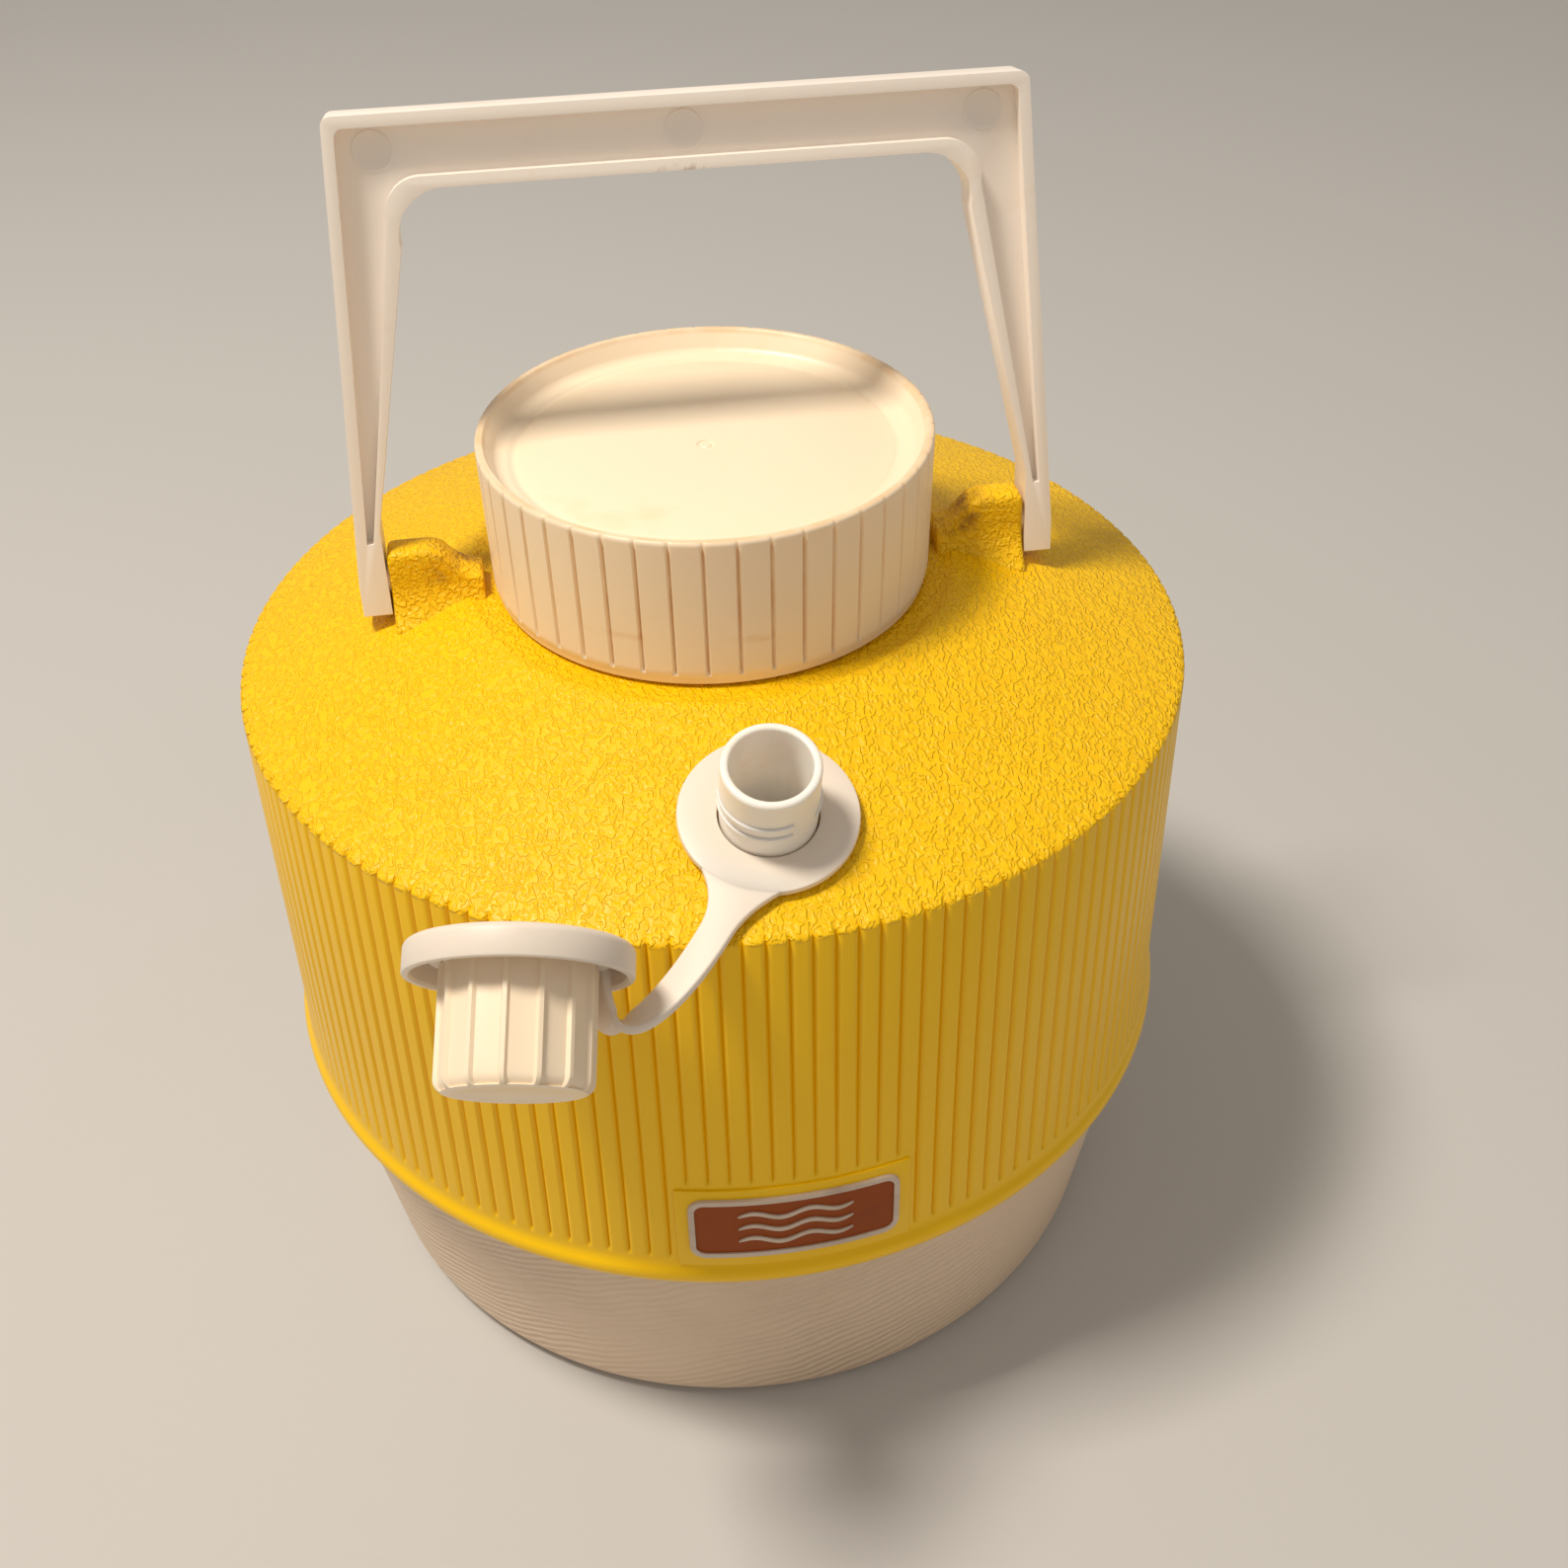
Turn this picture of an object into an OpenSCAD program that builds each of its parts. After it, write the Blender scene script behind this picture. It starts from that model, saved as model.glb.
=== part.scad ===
// One gallon insulated picnic jug: ribbed body, screw lid, swinging handle
// and a pour spout whose cap hangs on a tether.
// Origin: centre of the base's resting plane. Front (the spout) faces -Y.

/* [Body] */
// Diameter across the ribs at the shoulder's edge
shoulder_d = 216; // [200:1:260]
// Diameter across the ribs just above the lip
skirt_d = 220; // [204:1:264]
// Height of the shoulder's edge above the table
shoulder_h = 164; // [136:1:210]
// Slope of the shoulder, in degrees
shoulder_slope = 18; // [14:0.5:20]
// Height of the base that shows below the lip
base_h = 62.5; // [40:0.5:80]
// Diameter of the base just above its rounded foot
base_foot_d = 199; // [180:1:204]
// Wall of the two outer shells
shell_wall = 2.6; // [2:0.1:3.2]
// Height of the rolled lip
lip_h = 8; // [5:0.5:12]
// How far the lip stands proud of the ribs
lip_proud = 1.6; // [0.5:0.1:3]
// Number of ribs around the skirt
rib_count = 150; // [60:1:200]
// Width of the groove between two ribs
groove_w = 0.9; // [0.4:0.1:1.4]
// Depth of the groove between two ribs
groove_depth = 0.9; // [0.3:0.1:1.4]

/* [Badge] */
// Width of the badge along the skirt
badge_w = 46; // [30:1:60]
// Height of the badge
badge_h = 18.5; // [12:0.5:22]
// Thickness of the badge
badge_t = 0.8; // [0.4:0.1:1.5]
// Plain panel left around the badge on each side
panel_margin = 2.6; // [1:0.1:6]

/* [Liner] */
// Thickness of the inner vessel
liner_wall = 2; // [1.4:0.1:3]
// Depth of the insulation under the shoulder, measured square to it
shoulder_foam = 7.8; // [6:0.1:10]
// Thickness of the insulation at the top of the wall
wall_foam = 9.4; // [6:0.1:12]
// How much narrower the vessel's radius is at its floor
liner_draft = 8; // [2:0.5:14]
// Thickness of the foam pad under the vessel
base_foam = 7; // [4:0.5:14]

/* [Lid] */
// Bore of the mouth
mouth_d = 80; // [60:1:84]
// Diameter of the lid at its top
lid_d = 99.4; // [96:0.2:104]
// Height of the lid
lid_h = 34.2; // [30:0.2:44]
// Number of grip grooves around the lid
lid_groove_count = 45; // [20:1:60]
// Depth of the lid's grip grooves
lid_groove_depth = 1.1; // [0.5:0.1:1.4]
// Depth of the dished top
dish_depth = 5; // [3:0.5:7]
// Rise of the screw thread for one turn
lid_lead = 6; // [4:0.5:8]

/* [Handle] */
// Height of the handle's pivot above the shoulder beside it
pivot_lift = 9.1; // [8.8:0.1:12]
// Half the handle's width at the grip
grip_half_w = 70.9; // [66:0.1:76]
// Distance from the pivot to the top of the grip
handle_reach = 96.2; // [84:0.2:120]
// How far the handle leans back from upright, in degrees
handle_lean = 10.9; // [0:0.1:20]
// Depth of the handle from front to back
handle_depth = 9; // [6:0.5:12]
// Thickness of the leg at the pivot
foot_w = 6.2; // [5:0.1:8]
// Distance from the pivot out to the lug's face
lug_face_x = 71.4; // [68:0.1:74]
// Diameter of the pivot stud
stud_d = 7; // [5:0.1:9]

/* [Spout] */
// Distance of the spout's foot in from the shoulder's edge
spout_inset = 25.5; // [23:0.5:28]
// Outside diameter of the spout
spout_d = 19.4; // [17:0.1:22]
// Bore of the spout
spout_bore = 16; // [12:0.1:17]
// Height of the spout above the shoulder
spout_h = 19.8; // [14:0.1:26]

/* [Spout cap and tether] */
// Width of the tether's disc around the spout
disc_rim = 8.2; // [6:0.1:9]
// Width of the tether's strap
strap_w = 6.4; // [4:0.2:8]
// Thickness of the tether's strap and disc
strap_t = 1.8; // [1.2:0.1:2.4]
// How far the collar stands out around the cap
collar_rim = 6.5; // [5:0.1:8]
// Height of the collar's skirt
collar_h = 6.1; // [5:0.1:8]
// Wall of the cap, measured over its flutes
cap_wall = 3.5; // [3:0.1:4.5]
// Length of the cap from its open face to its closed end
cap_h = 26.7; // [24:0.1:34]
// Number of flutes around the cap
flute_count = 14; // [8:1:24]
// How far to the side of the spout the cap hangs
cap_side = 49.2; // [40:0.1:60]
// How far the cap's open face hangs out from the shoulder's edge
cap_out = 12.7; // [10:0.1:24]
// How far the cap's open face hangs above the shoulder's edge
cap_up = 9.3; // [0:0.1:14]
// How far the cap's closed end points down, in degrees
cap_dip = 33.7; // [10:0.1:60]

/* [Hidden] */
$fn = 96;

fit_gap = 0.3;        // between pieces that sit together without moving
running_gap = 0.06;   // radial, between a stud or neck and its bore
thread_gap = 0.6;     // radial, between a thread's crest and the wall it faces
eps = 0.02;

// Body
rim_r = shoulder_d / 2;
lip_r = skirt_d / 2;
lip_bottom = base_h;
lip_top = lip_bottom + lip_h;
foot_r = base_foot_d / 2;
foot_round = 6;
sleeve_h = 32;                       // how far the base runs up inside the skirt
slope_rise = tan(shoulder_slope);
flare = atan((lip_r - rim_r) / (shoulder_h - lip_top));
function skirt_r(z) = rim_r + (shoulder_h - z) * tan(flare);
function shoulder_z(r) = shoulder_h + (rim_r - r) * slope_rise;
function square_to_shoulder(d) = d / cos(shoulder_slope);
base_top_r = skirt_r(lip_bottom) - shell_wall - fit_gap / 2;
function base_r(z) = foot_r + (base_top_r - foot_r) * (z - foot_round) / (lip_bottom - foot_round);

// Lid, neck and the ledge that the lid stands over
lid_r = lid_d / 2;
lid_draft = 0.7;
collar_r = lid_r + 4.6;              // inner edge of the sloping shoulder
ledge_z = shoulder_z(collar_r) - 1.2;
lid_bottom = ledge_z + 0.7;
lid_top = lid_bottom + lid_h;
mouth_r = mouth_d / 2;
neck_r = mouth_r + 2.6;
dish_floor_t = 2;
gasket_t = 1.5;
flange_t = 1.6;
neck_top = lid_top - dish_depth - dish_floor_t - flange_t - gasket_t;
thread_depth = 1.6;
lid_bore_r = neck_r + thread_depth + thread_gap;
neck_thread_z = lid_bottom + 7.5;
neck_turns = 2;
lid_turns = 1.25;

// Liner
floor_t = 3;
base_recess = 1.2;                   // depth of the ring groove under the base
liner_floor = base_recess + floor_t + fit_gap + base_foam + fit_gap;
liner_drop = square_to_shoulder(shell_wall + shoulder_foam + 2 * fit_gap);
liner_spare = 1;                     // room between the foam and the two shells
liner_r = rim_r - shell_wall - wall_foam - 2 * fit_gap - liner_spare;
liner_top = shoulder_h + (rim_r - liner_r) * slope_rise - liner_drop;
function liner_out_r(z) = liner_r - liner_draft * (liner_top - z) / (liner_top - liner_floor);

// Badge panel
panel_z0 = lip_top;
badge_z = panel_z0 + panel_margin + badge_h / 2;
panel_z1 = badge_z + badge_h / 2 + panel_margin;
panel_w = badge_w + 2 * panel_margin;
panel_proud = 0.5;

// Handle
pivot_z = shoulder_z(lug_face_x) + pivot_lift;
lug_top = pivot_z + 7.5;
lug_half_t = stud_d / 2 + 0.1;
leg_gap = 0.4;
foot_half_w = lug_face_x + leg_gap + foot_w;
foot_drop = 8.6;
stud_len = 7;
grip_h = 14.5;
shoulder_leg_w = 13;                 // width of the leg where it meets the grip
flange_w = 2.4;
recess_depth = 3.2;
solid_foot = 12;
recess_foot = 9;                     // how far above the pivot the recess starts
crown_round = 2;                     // outer corners of the grip

// Spout
spout_r = rim_r - spout_inset;
spout_z = shoulder_z(spout_r);
spout_out_r = spout_d / 2;
inner_flange_r = spout_out_r + 3.9;
inner_flange_t = 1.8;
spout_gasket_t = 1.4;
liner_face = -(shell_wall + shoulder_foam + 2 * fit_gap);   // along the spout's axis
land_z = liner_face - liner_wall + 0.4;                     // flat land inside the liner
nut_h = 5;
spout_lead = 3.2;

// Cap and tether
cap_bore_r = spout_out_r + 1;
cap_r = cap_bore_r + cap_wall;
cap_neck_r = cap_r - 2;
cap_neck_h = 3.5;
collar_r_out = cap_r + collar_rim;
collar_web = 1.6;
disc_r = spout_out_r + disc_rim;
ring_r = cap_neck_r + 4.2;
cap_azimuth = -asin(cap_side / (rim_r + cap_out));
cap_pos = [
    (rim_r + cap_out) * sin(cap_azimuth),
    -(rim_r + cap_out) * cos(cap_azimuth),
    shoulder_h + cap_up
];
cap_heading = -9.5;                  // which way the cap's closed end points
disc_lift = 0.9;
strap_exit = 28;                     // where the strap leaves the disc, in degrees
strap_start_r = disc_r - 1;
strap_root_r = ring_r - 0.2;         // where the strap meets the ring
strap_root_turn = 37.4;              // around the cap, in degrees below level
strap_reach_disc = 20.2;             // how firmly the strap runs out of the disc
strap_reach_ring = 21.7;             // and out of the ring
strap_split = 0.42;                  // where the strap is cut for its flexing joint
strap_steps = 24;

// ---- Frames ---------------------------------------------------------------

// Places children on the shoulder, with +Z along the spout.
module at_spout() {
    translate([0, -spout_r, spout_z]) rotate([shoulder_slope, 0, 0]) children();
}

// Places children at the cap's open face, with +Z towards its closed end.
module at_cap() {
    translate(cap_pos) rotate([90 + cap_dip, 0, cap_heading]) children();
}

// Places children at the handle's pivot, with +Z up the leaning handle.
module at_pivot() {
    translate([0, 0, pivot_z]) rotate([-handle_lean, 0, 0]) children();
}

// The same frames for single points.
function from_spout(p) = [
    p.x,
    -spout_r + p.y * cos(shoulder_slope) - p.z * sin(shoulder_slope),
    spout_z + p.y * sin(shoulder_slope) + p.z * cos(shoulder_slope)
];
cap_turn = 90 + cap_dip;
function cap_vector(p) = let (
    y = p.y * cos(cap_turn) - p.z * sin(cap_turn),
    z = p.y * sin(cap_turn) + p.z * cos(cap_turn)
) [
    p.x * cos(cap_heading) - y * sin(cap_heading),
    p.x * sin(cap_heading) + y * cos(cap_heading),
    z
];
function from_cap(p) = cap_pos + cap_vector(p);

// ---- Helpers --------------------------------------------------------------

function arc(centre, r, a0, a1, steps = 6) = [
    for (i = [0:steps]) let (a = a0 + (a1 - a0) * i / steps) centre + r * [cos(a), sin(a)]
];
function unit(v) = v / norm(v);

// Closed solid through a list of rings, each with the same number of points.
module loft(rings) {
    m = len(rings[0]);
    last = len(rings) - 1;
    points = [for (ring = rings) each ring];
    sides = [
        for (i = [0:last - 1], j = [0:m - 1]) let (a = i * m + j, b = i * m + (j + 1) % m)
        each [[a, a + m, b], [b, a + m, b + m]]
    ];
    start = [for (j = [1:m - 2]) [0, j, j + 1]];
    end = [for (j = [1:m - 2]) [last * m, last * m + j + 1, last * m + j]];
    polyhedron(points, concat(sides, start, end), convexity = 4);
}

// Helical ridge from radius root_r to crest_r, fading in and out at its ends.
module thread(root_r, crest_r, lead, turns, half_w = 1.4, steps = 36) {
    n = ceil(turns * steps);
    crest_half = 0.4 * half_w;
    rings = [
        for (i = [0:n]) let (
            a = 360 * turns * i / n,
            z = lead * turns * i / n,
            fade = min(1, 6 * i / n, 6 * (n - i) / n),
            crest = root_r + (crest_r - root_r) * max(0.15, fade)
        ) [
            [root_r * cos(a), root_r * sin(a), z - half_w],
            [crest * cos(a), crest * sin(a), z - crest_half],
            [crest * cos(a), crest * sin(a), z + crest_half],
            [root_r * cos(a), root_r * sin(a), z + half_w]
        ]
    ];
    outward = crest_r > root_r;
    loft(outward ? [for (ring = rings) [ring[3], ring[2], ring[1], ring[0]]] : rings);
}

// ---- Outer shells ---------------------------------------------------------

module base_shell() {
    top = lip_bottom + sleeve_h;
    sleeve_r = skirt_r(top) - shell_wall - fit_gap / 2;
    floor_top = base_recess + floor_t;
    foot_in = foot_r - foot_round - 3.5;
    outline = concat(
        arc([foot_r - foot_round, foot_round], foot_round, -70, 0),
        [
            [base_top_r, lip_bottom],
            [sleeve_r, top],
            [sleeve_r - shell_wall, top],
            [base_top_r - shell_wall, lip_bottom],
            [foot_r - shell_wall, foot_round + 1],
            [foot_r - foot_round - 1, floor_top],
            [0, floor_top],
            [0, 0],
            [foot_in - 8, 0],
            [foot_in - 7, base_recess],
            [foot_in - 1, base_recess],
            [foot_in, 0],
            [foot_r - foot_round + 0.5, 0]
        ]
    );
    color("ivory") rotate_extrude($fn = 144) polygon(outline);
}

// Outline of the shoulder, the skirt and the lip, without ribs.
module top_profile() {
    inner_drop = square_to_shoulder(shell_wall);
    hole_r = neck_r + thread_depth + 0.4;
    lip_out = lip_r + lip_proud;
    polygon(concat(
        [
            [hole_r, ledge_z],
            [collar_r - 1, ledge_z],
            [collar_r + 1, shoulder_z(collar_r + 1)],
            [rim_r - 0.8, shoulder_z(rim_r - 0.8)],
            [rim_r, shoulder_h - 0.8],
            [skirt_r(lip_top), lip_top]
        ],
        arc([lip_out - 3.4, lip_bottom + 3.4], 3.4, 50, -75),
        [
            [skirt_r(lip_bottom) - shell_wall, lip_bottom],
            [skirt_r(shoulder_h - 3) - shell_wall, shoulder_h - 3],
            [rim_r - shell_wall - 3, shoulder_z(rim_r - shell_wall - 3) - inner_drop],
            [collar_r + 1, shoulder_z(collar_r + 1) - inner_drop],
            [collar_r - 1, ledge_z - shell_wall],
            [hole_r, ledge_z - shell_wall]
        ]
    ));
}

module rib_grooves() {
    panel_half_angle = (panel_w / 2 + 1) / lip_r * 180 / PI;
    for (i = [0:rib_count - 1]) {
        turn = 360 * i / rib_count;
        off_front = min(turn, 360 - turn);
        bottom = off_front < panel_half_angle ? panel_z1 + 2 : lip_top - 0.5;
        length = shoulder_h + 2 - bottom;
        rotate([0, 0, turn])
            translate([0, -skirt_r(bottom), bottom])
                rotate([-flare, 0, 0])
                    translate([-groove_w / 2, -2, 0])
                        cube([groove_w, 2 + groove_depth, length]);
    }
}

// Slice of a ring that follows the skirt, rounded at its corners when r > 0.
module skirt_patch(w, z0, z1, r, inner, outer) {
    intersection() {
        rotate_extrude($fn = 144)
            polygon([
                [skirt_r(z0) + inner, z0], [skirt_r(z0) + outer, z0],
                [skirt_r(z1) + outer, z1], [skirt_r(z1) + inner, z1]
            ]);
        rotate([90, 0, 0])
            translate([0, 0, rim_r / 2])
                linear_extrude(rim_r)
                    rounded_rectangle(w, z0, z1, r);
    }
}

module rounded_rectangle(w, z0, z1, r) {
    if (r > 0) {
        polygon(concat(
            arc([w / 2 - r, z1 - r], r, 0, 90),
            arc([-w / 2 + r, z1 - r], r, 90, 180),
            arc([-w / 2 + r, z0 + r], r, 180, 270),
            arc([w / 2 - r, z0 + r], r, 270, 360)
        ));
    } else {
        translate([-w / 2, z0]) square([w, z1 - z0]);
    }
}

// Solid of one pivot lug on the +X side, down to below the shoulder's surface.
module lug() {
    base_z = shoulder_h - 6;
    spread = lug_half_t + 7;
    fillet = 12;
    saddle_z = ledge_z + 5.5;
    intersection() {
        rotate([90, 0, 0])
            linear_extrude(4 * spread, center = true)
                polygon(concat(
                    [[neck_r + 8, base_z], [lug_face_x, base_z]],
                    arc([lug_face_x - 2, lug_top - 2], 2, 0, 90, 3),
                    [[lug_face_x - 8, lug_top]],
                    arc([lug_face_x - 8, lug_top - 6], 6, 90, 135, 3),
                    [
                        [collar_r + 4.5, saddle_z + 0.6],
                        [collar_r, saddle_z],
                        [collar_r - 1.8, ledge_z + 1.4],
                        [neck_r + 8, ledge_z - 1]
                    ]
                ));
        rotate([90, 0, 90])
            linear_extrude(2 * rim_r, center = true)
                polygon(concat(
                    [[-spread, base_z], [spread, base_z]],
                    arc([lug_half_t + 0.8 + fillet, pivot_z + 2], fillet, 240, 180, 5),
                    arc([lug_half_t - 1.6, lug_top - 2], 2, 0, 90, 3),
                    arc([-lug_half_t + 1.6, lug_top - 2], 2, 90, 180, 3),
                    arc([-lug_half_t - 0.8 - fillet, pivot_z + 2], fillet, 0, -60, 5)
                ));
    }
}

module top_shell() {
    color("gold") difference() {
        union() {
            difference() {
                rotate_extrude($fn = 144) top_profile();
                rib_grooves();
            }
            skirt_patch(panel_w, panel_z0 - 1, panel_z1, 0, -1, panel_proud);
            for (side = [0, 1]) mirror([side, 0, 0]) lug_on_shell();
        }
        for (side = [-1, 1])
            translate([side * (lug_face_x - stud_len - 0.5), 0, pivot_z])
                rotate([0, side * 90, 0])
                    cylinder(d = stud_d + 2 * running_gap, h = stud_len + 5);
        at_spout()
            translate([0, 0, -10]) cylinder(r = spout_out_r + 0.2, h = 20);
    }
}

// The lug trimmed to start inside the shell's own thickness.
module lug_on_shell() {
    difference() {
        lug();
        rotate_extrude()
            polygon([
                [0, 0], [rim_r, 0], [rim_r, shoulder_z(rim_r) - 1],
                [collar_r + 1, shoulder_z(collar_r + 1) - 1], [collar_r - 1, ledge_z - 1], [0, ledge_z - 1]
            ]);
        cylinder(r = lid_r + 1, h = 3 * shoulder_h);
    }
}

module badge() {
    color("chocolate")
        skirt_patch(badge_w, badge_z - badge_h / 2, badge_z + badge_h / 2, 3.5,
            panel_proud, panel_proud + badge_t);
}

// ---- Inner vessel and insulation ------------------------------------------

// Outline of the liner, drawn `inset` inside its outer face.
function liner_outline(inset) = let (
    floor_z = liner_floor + inset,
    floor_r = liner_out_r(liner_floor) - inset,
    corner = 12 - inset,
    wall_r = liner_r - inset,
    drop = liner_drop + square_to_shoulder(inset)
) concat(
    [[0, floor_z]],
    arc([floor_r - corner, floor_z + corner], corner, -90, 0),
    [
        [wall_r, shoulder_z(wall_r) - drop - 5],
        [wall_r - 1.6, shoulder_z(wall_r - 1.6) - drop - 1.4],
        [wall_r - 6, shoulder_z(wall_r - 6) - drop],
        [neck_r - inset * 1.3, shoulder_z(neck_r) - drop]
    ]
);

module liner() {
    color("whitesmoke") difference() {
        union() {
            rotate_extrude($fn = 144)
                polygon(concat(liner_outline(0), [
                    [neck_r, neck_top - 0.8], [neck_r - 0.8, neck_top], [0, neck_top]
                ]));
            translate([0, 0, neck_thread_z])
                thread(neck_r - 0.4, neck_r + thread_depth, lid_lead, neck_turns);
        }
        rotate_extrude($fn = 144)
            polygon(concat(liner_outline(liner_wall), [
                [mouth_r, shoulder_z(neck_r) - liner_drop + 1], [mouth_r, neck_top + 1], [0, neck_top + 1]
            ]));
        at_spout() translate([0, 0, land_z - 8])
            cylinder(r = inner_flange_r + 0.5, h = 8);
        at_spout() translate([0, 0, liner_face - 6])
            cylinder(r = spout_out_r + 0.2, h = 12);
    }
}

module insulation_base() {
    z0 = base_recess + floor_t + fit_gap;
    color("khaki") translate([0, 0, z0])
        cylinder(r = liner_out_r(liner_floor) - 6, h = base_foam);
}

module insulation_wall() {
    z0 = base_recess + floor_t + 14;
    z1 = liner_top - 9;
    sleeve_top = lip_bottom + sleeve_h;
    inner_skirt = shell_wall + fit_gap / 2 + shell_wall + fit_gap;
    color("khaki") rotate_extrude()
        polygon([
            [liner_out_r(z0) + fit_gap, z0],
            [base_r(z0) - shell_wall - fit_gap, z0],
            [base_top_r - shell_wall - fit_gap, lip_bottom],
            [skirt_r(sleeve_top) - inner_skirt, sleeve_top],
            [rim_r - inner_skirt, z1],
            [liner_r + fit_gap, z1]
        ]);
}

module insulation_shoulder() {
    inner_r = neck_r + 8;
    outer_r = liner_r - 3;
    top_drop = square_to_shoulder(shell_wall + fit_gap);
    bottom_drop = square_to_shoulder(shell_wall + shoulder_foam + fit_gap);
    color("khaki") difference() {
        rotate_extrude()
            polygon([
                [inner_r, shoulder_z(inner_r) - bottom_drop],
                [outer_r, shoulder_z(outer_r) - bottom_drop],
                [outer_r, shoulder_z(outer_r) - top_drop],
                [collar_r + 3, shoulder_z(collar_r + 3) - top_drop],
                [inner_r, ledge_z - shell_wall - fit_gap - 1]
            ]);
        at_spout() translate([0, 0, -20])
            cylinder(r = inner_flange_r + 1.5, h = 30);
    }
}

// Rubber ring that keeps spills out of the insulation around the neck.
module neck_seal() {
    shelf = shoulder_z(neck_r) - liner_drop + fit_gap;
    color("dimgray") translate([0, 0, shelf])
        rotate_extrude()
            translate([neck_r + 0.05, 0])
                square([5, ledge_z - shell_wall - shelf - 0.05]);
}

// ---- Lid ------------------------------------------------------------------

module lid_profile() {
    dish_z = lid_top - dish_depth;
    ceiling = dish_z - dish_floor_t;
    dish_r = lid_r - 6.2;
    polygon(concat(
        [
            [0, ceiling],
            [lid_bore_r, ceiling],
            [lid_bore_r, lid_bottom],
            [lid_r - lid_draft - 0.9, lid_bottom],
            [lid_r - lid_draft - 0.3, lid_bottom + 0.6],
            [lid_r - lid_draft, lid_bottom + 2.4],
            [lid_r - 0.3, lid_top - 0.5]
        ],
        [[lid_r - 0.7, lid_top], [lid_r - 1.7, lid_top]],
        arc([dish_r, dish_z + 3], 3, -35, -90, 4),
        [[dish_r - 1, dish_z - 0.4], [dish_r - 1.8, dish_z - 0.4], [dish_r - 2.6, dish_z], [0, dish_z]]
    ));
}

module lid_cover() {
    groove_z0 = lid_bottom + 2.6;
    groove_len = lid_top - 1.8 - groove_z0;
    color("antiquewhite") difference() {
        union() {
            rotate_extrude($fn = 144) lid_profile();
            translate([0, 0, neck_thread_z + lid_lead / 2 - lid_lead])
                thread(lid_bore_r + 0.4, lid_bore_r - thread_depth, lid_lead, lid_turns);
        }
        for (i = [0:lid_groove_count - 1])
            rotate([0, 0, 360 * i / lid_groove_count])
                translate([0, -lid_r + lid_draft / 2, groove_z0])
                    linear_extrude(groove_len)
                        polygon([[0, lid_groove_depth], [-0.9, -1], [0.9, -1]]);
    }
}

plug_r = mouth_r - 1.6;
plug_wall = 1.6;
plug_bottom = neck_top - 18;

module lid_plug() {
    flange_z = neck_top + gasket_t;
    color("antiquewhite") rotate_extrude($fn = 144)
        polygon([
            [0, plug_bottom],
            [plug_r - 2, plug_bottom],
            [plug_r, plug_bottom + 2],
            [plug_r, flange_z],
            [lid_bore_r - 0.4, flange_z],
            [lid_bore_r - 0.4, flange_z + flange_t],
            [plug_r - plug_wall, flange_z + flange_t],
            [plug_r - plug_wall, plug_bottom + 2.6],
            [plug_r - 2.6, plug_bottom + plug_wall],
            [0, plug_bottom + plug_wall]
        ]);
}

module lid_foam() {
    z0 = plug_bottom + plug_wall + 1.2;
    z1 = neck_top + gasket_t + flange_t - fit_gap;
    color("khaki") translate([0, 0, z0])
        cylinder(r = plug_r - plug_wall - fit_gap, h = z1 - z0);
}

module lid_gasket() {
    color("dimgray") translate([0, 0, neck_top])
        rotate_extrude()
            translate([plug_r + fit_gap, 0]) square([neck_r + 1 - plug_r - fit_gap, gasket_t]);
}

// ---- Handle ---------------------------------------------------------------

// Half-width of the handle's outer edge at a height above the pivot.
function outer_x(h) = foot_half_w - (foot_half_w - grip_half_w) * max(0, h) / handle_reach;
function leg_w(h) = let (
    up_the_leg = max(0, h - solid_foot) / (handle_reach - grip_h - solid_foot)
) foot_w + (shoulder_leg_w - foot_w) * up_the_leg;

// Front view of the handle, pulled in by `inset` on every side.
module handle_outline(inset) {
    top = handle_reach - inset;
    under = handle_reach - grip_h + inset;
    corner = 10 - inset;
    inner_top = outer_x(under) - leg_w(under) + inset;
    foot_z = inset > 0 ? recess_foot : 0;
    inner_foot = outer_x(foot_z) - leg_w(foot_z) + inset;
    lean_in = atan((inner_foot - inner_top) / (under - foot_z));
    right = concat(
        [[outer_x(top) - inset - crown_round, top]],
        arc([outer_x(top) - inset - crown_round, top - crown_round], crown_round, 90, 0, 3),
        [[outer_x(foot_z) - inset, foot_z], [inner_foot, foot_z]],
        arc([inner_top - corner, under - corner], corner, -lean_in, 90)
    );
    polygon(concat(right, [for (i = [len(right) - 1:-1:0]) [-right[i].x, right[i].y]]));
}

// Rounded end of one leg around its pivot, on the +X side.
module leg_foot() {
    inner = lug_face_x + leg_gap;
    rotate([90, 0, 90]) translate([0, 0, inner]) intersection() {
        linear_extrude(foot_w) union() {
            circle(r = foot_drop);
            translate([-foot_drop, 0]) square([2 * foot_drop, solid_foot]);
        }
        translate([-handle_depth / 2, -foot_drop, 0]) cube([handle_depth, foot_drop + solid_foot, foot_w]);
    }
}

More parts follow.
